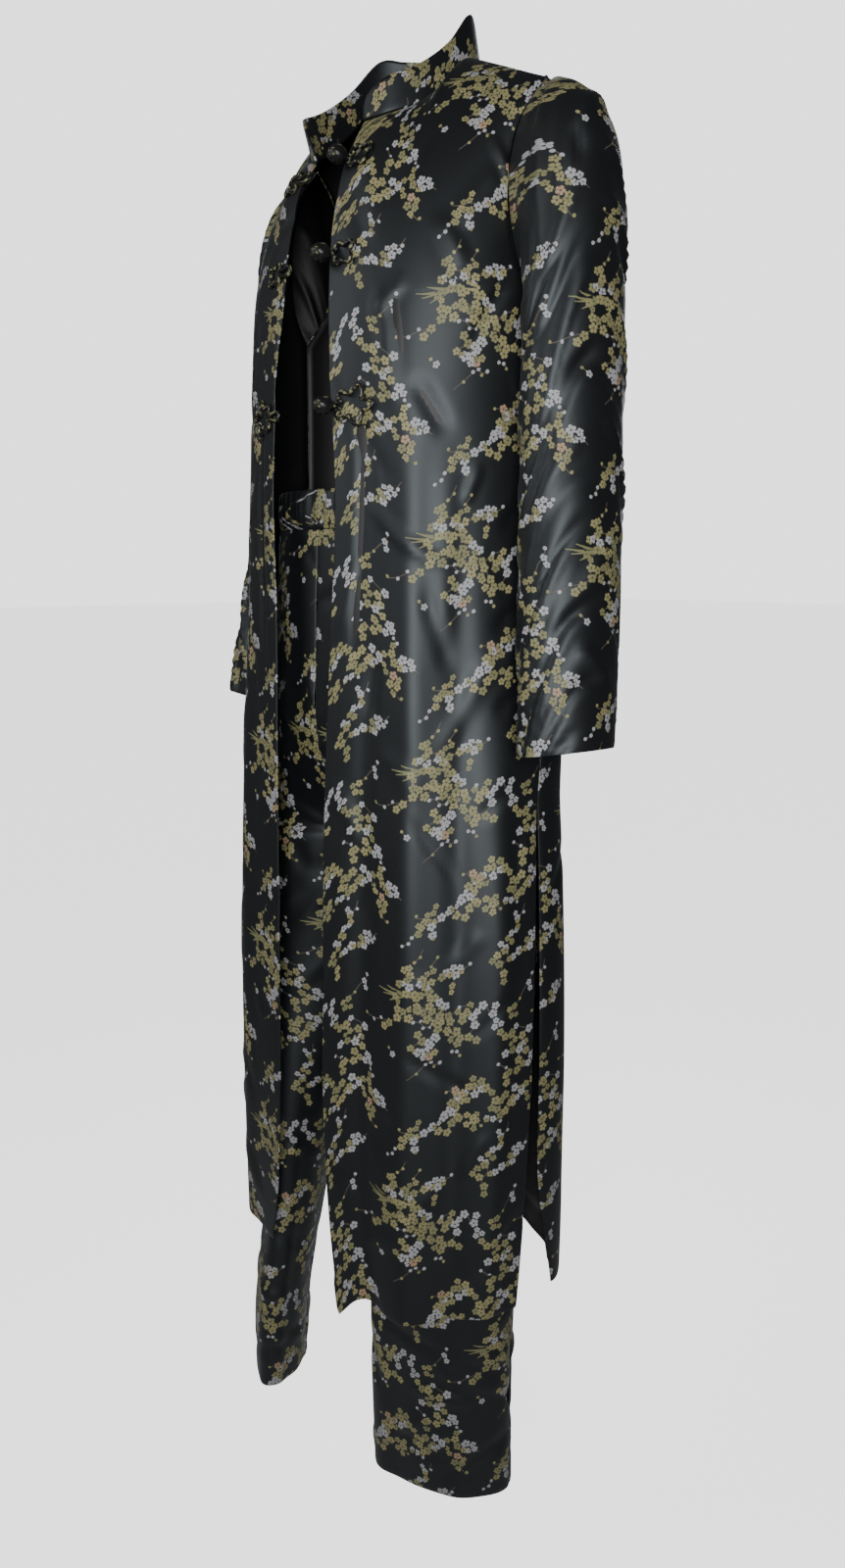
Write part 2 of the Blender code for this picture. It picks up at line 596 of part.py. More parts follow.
turn = np.arange(SLEEVE_COLUMNS) / SLEEVE_COLUMNS
down = np.linspace(0, 1, SLEEVE_ROWS) ** 1.15
for side, word in ((1, "left"), (-1, "right")):
    grid = sleeve_grid(side, down, turn)
    sheet("sleeve_" + word, grid if side < 0 else grid[:, ::-1], CLOTH, brocade, closed=True)

sheet("collar", collar_grid(np.linspace(-1, 1, COLLAR_COLUMNS), np.linspace(0, 1, 4)), CLOTH, brocade)

seat = CROTCH_Z + (SEAT_RINGS[-1][0] - CROTCH_Z) * np.linspace(0, 1, SEAT_ROWS) ** 1.8
part_across = np.linspace(0, 1, LEG_COLUMNS)
for side, word, table in ((1, "left", LEFT_LEG), (-1, "right", RIGHT_LEG)):
    z = np.concatenate([np.linspace(table[1][0], CROTCH_Z, LEG_ROWS)[:-1], seat])
    for back, face in ((False, "front"), (True, "back")):
        out = side * (-1 if back else 1)
        grid = folded(leg_grid(side, back, z, part_across), LEG_FOLDS, part_across, out)
        sheet("trouser_%s_%s" % (face, word), grid if out > 0 else grid[:, ::-1], CLOTH, brocade)
band = band_grid(np.arange(BAND_COLUMNS) / BAND_COLUMNS, np.linspace(SEAM / BAND_HEIGHT, 1, 2))
sheet("waistband", band, CLOTH, brocade, closed=True)

fine_across = np.linspace(0, 0.45, 70)
for side, word, folds in ((1, "left", LEFT_FRONT_FOLDS), (-1, "right", RIGHT_FRONT_FOLDS)):
    fine = folded(front_grid(side, np.linspace(0.80, 1, 90), np.linspace(0, 1, 60), fine_across),
                  folds, fine_across, side)
    for i, (height, strap, flower, petals) in enumerate(FROGS[1:], 1):
        x, z = frog_line(side, height, strap, flower, petals)
        y, n = cloth_height(fine, x, z)
        line = stack(x, y, z) + side * n * (CLOTH / 2 + CLEAR + CORD * CORD_LIFT)
        cord("frog_%s_%d" % (word, i), line, trim_cloth)
        if side > 0:
            end = line[np.argmin(line[:, 0])]
            knot("knot_%d" % i, end + np.array(BALL_OUT) * (CORD + BALL + CLEAR), trim_cloth)
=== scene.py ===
import math
import bpy
import numpy as np
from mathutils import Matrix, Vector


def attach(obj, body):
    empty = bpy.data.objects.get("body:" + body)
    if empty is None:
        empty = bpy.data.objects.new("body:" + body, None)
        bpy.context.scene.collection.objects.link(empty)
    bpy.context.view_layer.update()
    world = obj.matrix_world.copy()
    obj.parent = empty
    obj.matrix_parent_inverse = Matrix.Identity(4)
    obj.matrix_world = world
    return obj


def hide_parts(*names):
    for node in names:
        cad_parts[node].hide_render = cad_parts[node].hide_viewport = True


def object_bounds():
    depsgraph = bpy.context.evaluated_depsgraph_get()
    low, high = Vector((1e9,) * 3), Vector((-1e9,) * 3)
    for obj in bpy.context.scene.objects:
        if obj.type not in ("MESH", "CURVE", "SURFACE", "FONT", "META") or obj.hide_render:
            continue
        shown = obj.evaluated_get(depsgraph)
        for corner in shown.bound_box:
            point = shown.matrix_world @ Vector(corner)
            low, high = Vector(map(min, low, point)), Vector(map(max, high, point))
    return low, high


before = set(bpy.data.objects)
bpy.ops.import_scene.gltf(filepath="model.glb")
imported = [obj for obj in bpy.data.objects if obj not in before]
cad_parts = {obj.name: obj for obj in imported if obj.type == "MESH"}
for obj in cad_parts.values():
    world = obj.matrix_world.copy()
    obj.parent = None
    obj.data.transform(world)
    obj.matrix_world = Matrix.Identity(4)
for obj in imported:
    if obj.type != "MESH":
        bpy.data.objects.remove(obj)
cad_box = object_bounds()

# The camera stands at the wearer's front left, at waist height, and looks slightly down.
CAMERA_PLACE = (0.9581, -0.7982, -0.441)
CAMERA_TILT = math.radians(80.1)
CAMERA_TURN = math.radians(49.58)
CAMERA_LENS = 28.73

camera = bpy.data.objects.new("camera", bpy.data.cameras.new("camera"))
camera.data.lens = CAMERA_LENS
camera.location = CAMERA_PLACE
camera.rotation_euler = (CAMERA_TILT, 0.0, CAMERA_TURN)
bpy.context.scene.collection.objects.link(camera)
bpy.context.scene.camera = camera

# A wide pale floor below the set, in a plain pale room.  Both are bright to the camera and dim to
# the cloth, so that they look pale and light it little.
FLOOR_DROP = 0.12
FLOOR_SIZE = 60.0
PALE = (0.86, 0.86, 0.86)
ROOM_SEEN = 2.2
ROOM_LIGHT = 0.08

bpy.ops.mesh.primitive_plane_add(size=FLOOR_SIZE, location=(0, 0, cad_box[0].z - FLOOR_DROP))
floor = bpy.context.object
floor.name = "floor"
floor_paint = bpy.data.materials.new("floor_paint")
floor_paint.use_nodes = True
nodes, links = floor_paint.node_tree.nodes, floor_paint.node_tree.links
nodes["Principled BSDF"].inputs["Base Color"].default_value = (*PALE, 1)
nodes["Principled BSDF"].inputs["Roughness"].default_value = 0.8
nodes["Principled BSDF"].inputs["Emission Color"].default_value = (*PALE, 1)
seen = nodes.new("ShaderNodeLightPath").outputs["Is Camera Ray"]
glow = nodes.new("ShaderNodeMath")
glow.operation = "MULTIPLY"
glow.inputs[1].default_value = ROOM_SEEN
links.new(seen, glow.inputs[0])
links.new(glow.outputs[0], nodes["Principled BSDF"].inputs["Emission Strength"])
floor.data.materials.append(floor_paint)

world = bpy.data.worlds.new("room")
world.use_nodes = True
nodes, links = world.node_tree.nodes, world.node_tree.links
nodes["Background"].inputs["Color"].default_value = (*PALE, 1)
seen = nodes.new("ShaderNodeLightPath").outputs["Is Camera Ray"]
bright = nodes.new("ShaderNodeMapRange")
bright.inputs["To Min"].default_value = ROOM_LIGHT
bright.inputs["To Max"].default_value = ROOM_SEEN * 1.15
links.new(seen, bright.inputs["Value"])
links.new(bright.outputs[0], nodes["Background"].inputs["Strength"])
bpy.context.scene.world = world

# Soft lights: a key behind the camera at its own height, which fades towards the hem, a weak one
# high at its left and one behind the wearer.
LIGHTS = (
    ("name", "place", "aim", "size", "power"),
    ("key", (1.55, -1.36, -0.26), (0.10, -0.05, -0.36), 0.8, 8.5),
    ("fill", (-0.9, -2.2, 0.5), (0.0, 0.0, -0.4), 1.4, 4.0),
    ("back", (-1.3, 2.1, 0.3), (0.0, 0.0, -0.4), 1.4, 8.0),
)
LIGHT_SPREAD = math.radians(80)


def aimed(ob, place, aim):
    """Puts an object at a place and turns its -Z towards the aim."""
    ob.location = place
    look = ob.location.copy()
    look.x, look.y, look.z = (aim[i] - place[i] for i in range(3))
    ob.rotation_euler = look.to_track_quat("-Z", "Y").to_euler()


for name, place, aim, size, power in LIGHTS[1:]:
    lamp = bpy.data.lights.new(name, "AREA")
    lamp.energy, lamp.size, lamp.spread = power, size, LIGHT_SPREAD
    lamp_ob = bpy.data.objects.new(name, lamp)
    lamp_ob.visible_camera = False
    bpy.context.scene.collection.objects.link(lamp_ob)
    aimed(lamp_ob, place, aim)


# Brocade: black satin, figured in gold and silver thread with sprays of plum blossom.
# The figure is woven in, so it follows each piece's own cut, and repeats every 20 cm of length.
REPEAT = np.array([0.165, 0.1985])
SPRAYS = (
    ("u", "v", "to_u", "to_v", "sway", "flowers"),
    (-6, 731, 25, 735, 3, "GGGg"),
    (4, 726, 33, 729, 1, "WWGG"),
    (39, 735, 46, 722, 3, "WWg"),
    (49, 734, 58, 738, 1, "Gs"),
    (-9, 718, 22, 717, 2, "gGGG"),
    (15, 708, 36, 686, 4, "GGGGG"),
    (38, 704, 39, 702, 0, "W"),
    (14, 701, -41, 684, 2, "GGGGssb"),
    (11, 694, 25, 685, 2, "ssss"),
    (9, 670, 30, 677, 1, "gGW"),
    (25, 672, 17, 664, 0, "WW"),
    (27, 660, 32, 661, 1, "Pg"),
    (25, 653, 37, 650, 2, "ssbs"),
    (24, 650, 9, 638, 1, "-b-"),
    (-12, 666, -7, 661, 0, "bw"),
    (14, 758, 8, 747, 1, "-bb"),
    (22, 742, 28, 749, 1, "bb"),
    (42, 696, 63, 688, 3, "GgGW"),
    (51, 700, 61, 701, 0, "sg"),
    (46, 688, 48, 677, 2, "GG"),
    (67, 681, 54, 665, 2, "wGG"),
    (48, 660, 56, 656, 1, "ssb"),
    (-58, 676, -43, 670, 0, "wW"),
    (-69, 671, -45, 661, 2, "GGgGg"),
    (-68, 654, -52, 654, 1, "WGW"),
    (-74, 645, -66, 640, 0, "ss"),
    (-37, 645, -29, 630, 1, "Wwss"),
    (-50, 641, -65, 628, 3, "GGGG"),
    (-46, 611, -73, 613, 2, "wgGG"),
    (-54, 619, -53, 617, 0, "W"),
    (-55, 603, -71, 601, 2, "wGG"),
    (-74, 594, -67, 591, 0, "ws"),
    (-40, 621, -8, 606, 3, "gGGWws-"),
    (-36, 606, -24, 582, 3, "gPGgbb"),
    (46, 622, 63, 620, 1, "bPG"),
    (51, 612, 73, 616, 2, "GWgW"),
    (72, 627, 82, 623, 1, "GG"),
    (46, 600, 74, 595, 2, "WWGgG"),
    (80, 588, 74, 600, 1, "bgb"),
    (55, 588, 43, 583, 3, "GGG"),
    (36, 589, 6, 588, 3, "wWggb"),
    (18, 585, 22, 568, 1, "gWsb"),
    (12, 579, -4, 563, 1, "ggsss"),
    (-57, 587, -75, 552, 2, "-swgwgw"),
    (-33, 567, -60, 545, 2, "-swWggW"),
    (-73, 549, -80, 531, 4, "GgGG"),
    (-43, 720, -66, 688, 1, "sw-bgg"),
    (-91, 702, -79, 681, 2, "WWw"),
)
FLOWERS = {"G": (0.0044, 0), "g": (0.0034, 0), "P": (0.0043, 2), "W": (0.0044, 1), "w": (0.0034, 1),
           "b": (0.0016, 3), "s": (0.0017, 4)}
LEAF_SPIKES = ((-2, 717, -27, 720), (-3, 719, -18, 724), (-4, 716, -15, 711), (0, 718, -22, 716))
TWIG = 0.00055
LEAF = 0.0021
COMPANIONS = (0, 1, 1, 2)


def chart():
    """Flowers (u, v, radius, kind) and twigs (u, v, to_u, to_v, width) of one repeat.  A spray's
    flowers stand at even steps on a line that sways to both sides in turn, and most have a second
    one close by, so that they lie in thick clusters."""
    rng = np.random.default_rng(11)
    flowers, twigs = [], []
    for u, v, to_u, to_v, sway, row in SPRAYS[1:]:
        n = len(row)
        t = (np.arange(n) + 0.5) / n if n < 2 else np.arange(n) / (n - 1)
        run = np.array([to_u - u, to_v - v], float)
        side = np.array([-run[1], run[0]]) / max(np.hypot(*run), 1)
        swing = sway * np.where(np.arange(n) % 2, 1, -1) + rng.uniform(-0.5, 0.5, n)
        spots = (np.array([u, v]) + t[:, None] * run + swing[:, None] * side) / 1000
        stem = (np.array([u, v]) + t[:, None] * run + 0.3 * swing[:, None] * side) / 1000
        for k, letter in enumerate(row):
            if k:
                twigs.append((*stem[k - 1], *stem[k], TWIG))
            if letter != "-":
                radius, kind = FLOWERS[letter]
                flowers.append((*spots[k], radius * rng.uniform(0.93, 1.07), kind))
                twigs.append((*stem[k], *spots[k], TWIG))
                for _ in range(rng.choice(COMPANIONS) if letter in "GgPWw" else 0):
                    way, share = rng.uniform(0, 2 * np.pi), rng.uniform(0.78, 0.98)
                    off = radius * (0.85 + share) * np.array([np.cos(way), np.sin(way)])
                    flowers.append((*(spots[k] + off), radius * share, kind if rng.random() < 0.85 else 0))
    for u, v, to_u, to_v in LEAF_SPIKES:
        twigs.append((u / 1000, v / 1000, to_u / 1000, to_v / 1000, LEAF))
    return np.array(flowers), np.array(twigs)


flower_chart, twig_chart = chart()


def wrapped(delta):
    """A step on the cloth brought to the nearest repeat."""
    return delta - np.round(delta / REPEAT) * REPEAT


def figured(mesh, middles):
    """Gives each face the two nearest flowers and twigs of the woven repeat, in the cut's own
    metres, as face attributes that the brocade's shader draws."""
    n = len(middles)
    to_flower = wrapped(flower_chart[None, :, :2] - middles[:, None, :])
    far = np.hypot(to_flower[..., 0], to_flower[..., 1]) - flower_chart[None, :, 2]
    order = np.argsort(far, axis=1)[:, :2]
    rows = np.arange(n)
    for k, name in enumerate(("flower_a", "flower_b")):
        pick = order[:, k]
        spot = middles + to_flower[rows, pick]
        code = flower_chart[pick, 3] + flower_chart[pick, 2] * 100
        layer = mesh.attributes.new(name, "FLOAT_VECTOR", "FACE")
        layer.data.foreach_set("vector", np.c_[spot, code].astype(np.float32).ravel())
    run = twig_chart[:, 2:4] - twig_chart[:, :2]
    to_start = wrapped(twig_chart[None, :, :2] + run[None] / 2 - middles[:, None, :]) - run[None] / 2
    share = np.clip(-(to_start * run).sum(-1) / np.maximum((run ** 2).sum(-1), 1e-12), 0, 1)
    gap = to_start + share[..., None] * run
    order = np.argsort(np.hypot(gap[..., 0], gap[..., 1]), axis=1)[:, :2]
    for k, name in enumerate(("twig_a", "twig_b")):
        pick = order[:, k]
        start = middles + to_start[rows, pick]
        layer = mesh.attributes.new(name + "_from", "FLOAT_VECTOR", "FACE")
        layer.data.foreach_set("vector", np.c_[start, twig_chart[pick, 4]].astype(np.float32).ravel())
        layer = mesh.attributes.new(name + "_run", "FLOAT_VECTOR", "FACE")
        layer.data.foreach_set("vector", np.c_[run[pick], 0 * pick].astype(np.float32).ravel())


class Shader:
    """A material's node tree with short ways to add nodes; each returns the node's first output."""

    def __init__(self, name):
        self.material = bpy.data.materials.new(name)
        self.material.use_nodes = True
        self.tree = self.material.node_tree
        self.surface = self.tree.nodes["Principled BSDF"]

    def add(self, kind, *values, **settings):
        node = self.tree.nodes.new(kind)
        for key, value in settings.items():
            setattr(node, key, value)
        for socket, value in zip(node.inputs, values):
            if isinstance(value, bpy.types.NodeSocket):
                self.tree.links.new(value, socket)
            elif value is not None:
                socket.default_value = value
        return node.outputs[0]

    def math(self, operation, *values):
        return self.add("ShaderNodeMath", *values, operation=operation)

    def vector(self, operation, *values):
        node = self.add("ShaderNodeVectorMath", *values, operation=operation).node
        return node.outputs["Value" if operation in ("LENGTH", "DOT_PRODUCT") else "Vector"]

    def parts(self, value):
        node = self.add("ShaderNodeSeparateXYZ", value).node
        return node.outputs[0], node.outputs[1], node.outputs[2]

    def attribute(self, name):
        return self.add("ShaderNodeAttribute", attribute_name=name).node.outputs["Vector"]

    def ramp(self, value, low, high):
        """0 below low, 1 above high, straight between."""
        node = self.add("ShaderNodeMapRange", value, low, high, 0.0, 1.0).node
        return node.outputs[0]

    def mix(self, share, a, b):
        node = self.tree.nodes.new("ShaderNodeMix")
        node.data_type = "RGBA"
        for socket, value in zip((node.inputs[0], node.inputs[6], node.inputs[7]), (share, a, b)):
            if isinstance(value, bpy.types.NodeSocket):
                self.tree.links.new(value, socket)
            else:
                socket.default_value = value
        return node.outputs[2]

    def into(self, socket, value):
        if isinstance(value, bpy.types.NodeSocket):
            self.tree.links.new(value, self.surface.inputs[socket])
        else:
            self.surface.inputs[socket].default_value = value


GROUND = (0.0050, 0.0053, 0.0062, 1)
GOLD = (0.300, 0.270, 0.125, 1)
OLIVE = (0.190, 0.185, 0.085, 1)
PEACH = (0.36, 0.24, 0.15, 1)
SILVER = (0.37, 0.37, 0.385, 1)
BARK = (0.085, 0.070, 0.050, 1)
HEART = (0.055, 0.040, 0.028, 1)
THREADS = (900.0, 5200.0, 1.0)


def threads_on(shader, place, fineness, roughness):
    """Fine noise, drawn out along the threads and much closer across them."""
    place = shader.vector("MULTIPLY", place, fineness)
    return shader.add("ShaderNodeTexNoise", place, None, 1.0, 2.0, roughness, noise_dimensions="2D")


def raise_surface(shader, height, strength, depth):
    bump = shader.add("ShaderNodeBump", strength, depth).node
    shader.tree.links.new(height, bump.inputs["Height"])
    shader.into("Normal", bump.outputs[0])


def flower_nodes(shader, place, name):
    """Five round petals round a dark heart: the outline's radius is 0.58 + 0.42 |cos 2.5 a|^0.5 of
    the flower's radius, with a dark line between petals.  Returns its share and colour."""
    spot_u, spot_v, code = shader.parts(shader.attribute(name))
    u, v, _ = shader.parts(place)
    kind = shader.math("FLOOR", code)
    radius = shader.math("DIVIDE", shader.math("FRACT", code), 100.0)
    du, dv = shader.math("SUBTRACT", u, spot_u), shader.math("SUBTRACT", v, spot_v)
    turn = shader.math("MULTIPLY", spot_u, 9000.0)
    angle = shader.math("ADD", shader.math("ARCTAN2", dv, du), turn)
    gap = shader.math("DIVIDE", shader.math("SQRT", shader.math("ADD", shader.math("MULTIPLY", du, du),
                                            shader.math("MULTIPLY", dv, dv))), radius)
    petal = shader.math("ABSOLUTE", shader.math("COSINE", shader.math("MULTIPLY", angle, 2.5)))
    lobe = shader.math("MULTIPLY_ADD", shader.math("POWER", petal, 0.5), 0.42, 0.58)
    bud = shader.math("GREATER_THAN", kind, 2.5)
    lobe = shader.math("MAXIMUM", lobe, bud)
    share = shader.ramp(shader.math("SUBTRACT", lobe, gap), 0.0, 0.10)
    white = shader.math("ADD", shader.math("COMPARE", kind, 1.0, 0.1),
                        shader.math("COMPARE", kind, 4.0, 0.1))
    shade = shader.add("ShaderNodeTexWhiteNoise", shader.attribute(name), noise_dimensions="3D")
    colour = shader.mix(shade, GOLD, OLIVE)
    colour = shader.mix(shader.math("COMPARE", kind, 2.0, 0.1), colour, PEACH)
    colour = shader.mix(white, colour, SILVER)
    split = shader.math("MULTIPLY", shader.ramp(petal, 0.30, 0.12), shader.ramp(gap, 0.20, 0.36))
    heart = shader.math("MAXIMUM", shader.ramp(gap, 0.24, 0.16), shader.math("MULTIPLY", split, 0.8))
    heart = shader.math("MULTIPLY", heart, shader.math("SUBTRACT", 1.0, bud))
    return share, shader.mix(heart, colour, HEART)


def twig_nodes(shader, place, name):
    """Distance to the nearest stretch of a twig, thinner towards its tip.  Returns its share."""
    start = shader.attribute(name + "_from")
    run = shader.vector("MULTIPLY", shader.attribute(name + "_run"), (1.0, 1.0, 0.0))
    width = shader.parts(start)[2]
    flat = shader.vector("MULTIPLY", shader.vector("SUBTRACT", place, start), (1.0, 1.0, 0.0))
    square = shader.math("MAXIMUM", shader.vector("DOT_PRODUCT", run, run), 1e-9)
    share = shader.math("DIVIDE", shader.vector("DOT_PRODUCT", flat, run), square)
    share = shader.math("MINIMUM", shader.math("MAXIMUM", share, 0.0), 1.0)
    step = shader.add("ShaderNodeVectorMath", run, operation="SCALE").node
    shader.tree.links.new(share, step.inputs["Scale"])
    gap = shader.vector("LENGTH", shader.vector("SUBTRACT", flat, step.outputs["Vector"]))
    taper = shader.math("MULTIPLY", shader.math("MULTIPLY_ADD", share, -0.8, 1.0), width)
    wide = shader.math("MULTIPLY", taper, shader.math("GREATER_THAN", width, 0.001))
    edge = shader.math("MAXIMUM", wide, shader.math("MINIMUM", width, TWIG))
    share = shader.ramp(shader.math("DIVIDE", gap, edge), 1.0, 0.6)
    return share, shader.math("GREATER_THAN", width, 0.001)


def brocade():
    """Black satin ground with the figure drawn over it, and fine raised threads."""
    shader = Shader("black_brocade")
    place = shader.add("ShaderNodeUVMap", uv_map="cut")
    colour, figure = GROUND, None
    for name in ("twig_b", "twig_a"):
        share, leaf = twig_nodes(shader, place, name)
        colour = shader.mix(share, colour, shader.mix(leaf, BARK, OLIVE))
        figure = share if figure is None else shader.math("MAXIMUM", figure, share)
    for name in ("flower_b", "flower_a"):
        share, petals = flower_nodes(shader, place, name)
        colour = shader.mix(share, colour, petals)
        figure = shader.math("MAXIMUM", figure, share)
    threads = threads_on(shader, place, THREADS, 0.6)
    shader.into("Base Color", colour)
    shader.into("Roughness", shader.math("MULTIPLY_ADD", figure, 0.10, 0.50))
    shader.into("Specular IOR Level", 0.55)
    shader.into("Specular Tint", (0.86, 0.95, 1.0, 1))
    shader.into("Sheen Weight", 0.03)
    shader.into("Sheen Roughness", 0.40)
    shader.into("Sheen Tint", (0.80, 0.92, 1.0, 1))
    height = shader.math("MULTIPLY_ADD", threads, 0.25, shader.math("MULTIPLY", figure, 0.6))
    raise_surface(shader, height, 0.25, 0.0004)
    return shader.material


black_brocade = brocade()

# The lining and the wrong side of the cloth: plain black, a little duller than the satin.
LINING_BLACK = (0.0045, 0.0045, 0.005, 1)
LINING_THREADS = (2400.0, 1500.0, 1.0)


def plain_black():
    shader = Shader("black_lining")
    place = shader.add("ShaderNodeUVMap", uv_map="cut")
    threads = threads_on(shader, place, LINING_THREADS, 0.5)
    shader.into("Base Color", shader.mix(threads, LINING_BLACK, (0.009, 0.009, 0.010, 1)))
    shader.into("Roughness", 0.52)
    raise_surface(shader, threads, 0.2, 0.0002)
    return shader.material


black_lining = plain_black()

# The trousers: two fronts and two backs, cut straight, sewn along the outer and inner legs and
# round the seat.  Each is worked out from the rings of the leg and of the seat.
CLOTH = 0.0014
SEAM = 0.0003
TURN_SEAM = 0.0004
ROUND = 0.90
CROTCH_Z = -0.700
CROTCH_DEPTH = 0.130
STEP = 0.0046
EDGE_STEPS = np.array([0.0, 0.0008, 0.0018, 0.0034])
EVEN_FROM = 0.0068
SEAT_RINGS = (
    ("height", "half_width", "front", "back"),
    (-0.7200, 0.1640, 0.114, 0.0780),
    (-0.6200, 0.1620, 0.115, 0.0790),
    (-0.5200, 0.1560, 0.113, 0.0790),
    (-0.4400, 0.1460, 0.110, 0.0770),
    (-0.4083, 0.1410, 0.108, 0.0760),
)
LEFT_LEG = (
    ("height", "x", "y", "half_width", "half_depth", "twist"),
    (-1.354, 0.099, -0.040, 0.071, 0.033, 0.56),
    (-1.240, 0.094, -0.038, 0.072, 0.040, 0.54),
    (-1.100, 0.090, -0.032, 0.075, 0.054, 0.40),
    (-0.920, 0.087, -0.024, 0.078, 0.074, 0.14),
    (-0.780, 0.084, -0.019, 0.080, 0.090, 0.00),
    (-0.700, 0.083, -0.018, 0.0815, 0.095, 0.00),
)
RIGHT_LEG = (
    ("height", "x", "y", "half_width", "half_depth", "twist"),
    (-1.312, -0.122, -0.086, 0.026, 0.064, 0.84),
    (-1.240, -0.119, -0.085, 0.028, 0.068, 0.83),
    (-1.130, -0.110, -0.072, 0.030, 0.068, 0.80),
    (-1.020, -0.102, -0.062, 0.036, 0.070, 0.68),
    (-0.900, -0.093, -0.042, 0.056, 0.078, 0.35),
    (-0.790, -0.086, -0.024, 0.076, 0.088, 0.05),
    (-0.700, -0.083, -0.018, 0.0815, 0.095, 0.00),
)
LEG_FOLDS = (
    ("across", "width", "depth", "top", "bottom", "wander"),
    (0.30, 0.100, -0.0035, -0.600, -1.500, 0.03),
    (0.62, 0.100, 0.0040, -0.640, -1.500, -0.03),
)
LEG_CREASES = (
    ("u", "v", "to_u", "to_v", "width", "depth"),
    (0.020, 0.640, 0.090, 0.560, 0.012, -0.0022),
    (0.030, 0.600, 0.110, 0.500, 0.010, 0.0018),
    (0.120, 0.420, 0.190, 0.380, 0.012, -0.0020),
    (0.040, 0.300, 0.150, 0.260, 0.011, -0.0018),
    (0.090, 0.150, 0.180, 0.110, 0.012, 0.0018),
    (0.020, 0.060, 0.110, 0.040, 0.010, -0.0016),
)


def column(table, name):
    k = table[0].index(name)
    return np.array([row[k] for row in table[1:]], float)


def along(table, key, name, value):
    """Smooth curve through one column of a table against another (cubic with local slopes)."""
    x, y = column(table, key), column(table, name)
    slope = np.gradient(y, x)
    value = np.clip(np.asarray(value, float), x[0], x[-1])
    i = np.clip(np.searchsorted(x, value, side="right") - 1, 0, len(x) - 2)
    h = x[i + 1] - x[i]
    t = (value - x[i]) / h
    return ((2 * t**3 - 3 * t**2 + 1) * y[i] + (t**3 - 2 * t**2 + t) * h * slope[i]
            + (3 * t**2 - 2 * t**3) * y[i + 1] + (t**3 - t**2) * h * slope[i + 1])


def stack(x, y, z):
    return np.stack(np.broadcast_arrays(x, y, z), -1)


def ring_point(half_width, reach, angle):
    """Point of a squarish ring: angle 0 in front, a quarter turn at the side."""
    s, c = np.sin(angle), np.cos(angle)
    return half_width * np.sign(s) * np.abs(s) ** ROUND, -reach * np.sign(c) * np.abs(c) ** ROUND


def ring_angle(share):
    """Angle whose squarish sine is the share."""
    return np.arcsin(np.clip(np.abs(share), 0, 1) ** (1 / ROUND)) * np.sign(share)


def normals(grid):
    """Unit cross product of the grid's steps across and up."""
    n = np.cross(np.gradient(grid, axis=1), np.gradient(grid, axis=0))
    return n / np.maximum(np.linalg.norm(n, axis=-1, keepdims=True), 1e-9)


def fold_height(table, across, z):
    """Sum of soft ridges and troughs that run down the cloth and fade at its edges."""
    out = np.zeros(np.broadcast(across, z).shape)
    for a, width, depth, top, bottom, wander in table[1:]:
        down = np.clip((top - z) / (top - bottom), 0, 1)
        centre = a + wander * np.sin(3.0 * down)
        out += depth * np.exp(-((across - centre) / width) ** 2) * np.minimum(down * 3.0, 1.0)
    return out * np.clip((1 - np.abs(across)) / 0.12, 0, 1)


def folded(grid, table, across, side=1):
    """The grid moved out along its normals by the long folds."""
    height = fold_height(table, across[None, :], grid[..., 2])
    return grid + side * normals(grid) * height[..., None]


def laid_flat(grid, start=0):
    """The cut's own metres: length across each row from the start column, and length up the
    columns from the lowest row."""
    across = np.linalg.norm(np.diff(grid, axis=1), axis=-1)
    up = np.linalg.norm(np.diff(grid, axis=0), axis=-1)
    u = np.concatenate([np.zeros((len(grid), 1)), np.cumsum(across, 1)], 1)
    v = np.concatenate([np.zeros((1, grid.shape[1])), np.cumsum(up, 0)], 0)
    return np.stack([u - u[:, start:start + 1], v], -1)


def level_cut(grid, start=0):
    """The cut of a piece that hangs straight: level length across each row, and height."""
    across = np.hypot(*np.moveaxis(np.diff(grid[..., :2], axis=1), -1, 0))
    u = np.concatenate([np.zeros((len(grid), 1)), np.cumsum(across, 1)], 1)
    zero = u[:, start][:, None]
    return np.stack([u - zero, grid[..., 2]], -1)


def creased(grid, table, side, start=0):
    """Soft creases: each a ridge (or a trough where its depth is below 0) with a shallow hollow at
    both sides, along a line on the cut, fading at both ends."""
    cut = laid_flat(grid, start)
    height = np.zeros(grid.shape[:2])
    for u, v, to_u, to_v, width, depth in table[1:]:
        run = np.array([to_u - u, to_v - v])
        length = np.hypot(*run)
        step = cut - np.array([u, v])
        t = (step @ run) / length ** 2
        d = (step[..., 0] * run[1] - step[..., 1] * run[0]) / length / width
        ends = np.clip(t / 0.3, 0, 1) * np.clip((1 - t) / 0.3, 0, 1)
        ends = ends * ends * (3 - 2 * ends)
        height += depth * (1 - 0.8 * d * d) * np.exp(-d * d) * ends
    return grid + side * normals(grid) * height[..., None]


def rumples(seed, width, height, count, slant, depth):
    """A table of small soft creases for creased(), spread evenly over a cut of that width and
    height: their directions keep near the slant (radians from level) and their sides alternate."""
    rng = np.random.default_rng(seed)
    rows = [("u", "v", "to_u", "to_v", "width", "depth")]
    for i in range(count):
        u, v = (i * 0.618 % 1.0) * width, (i + rng.random()) / count * height
        way, length = slant * rng.choice([-1, 1]) + rng.normal(0, 0.30), rng.uniform(0.04, 0.11)
        du, dv = 0.5 * length * np.cos(way), 0.5 * length * np.sin(way)
        rows.append((u - du, v - dv, u + du, v + dv, rng.uniform(0.006, 0.012),
                     depth * rng.uniform(0.4, 1.0) * (-1) ** i))
    return rows


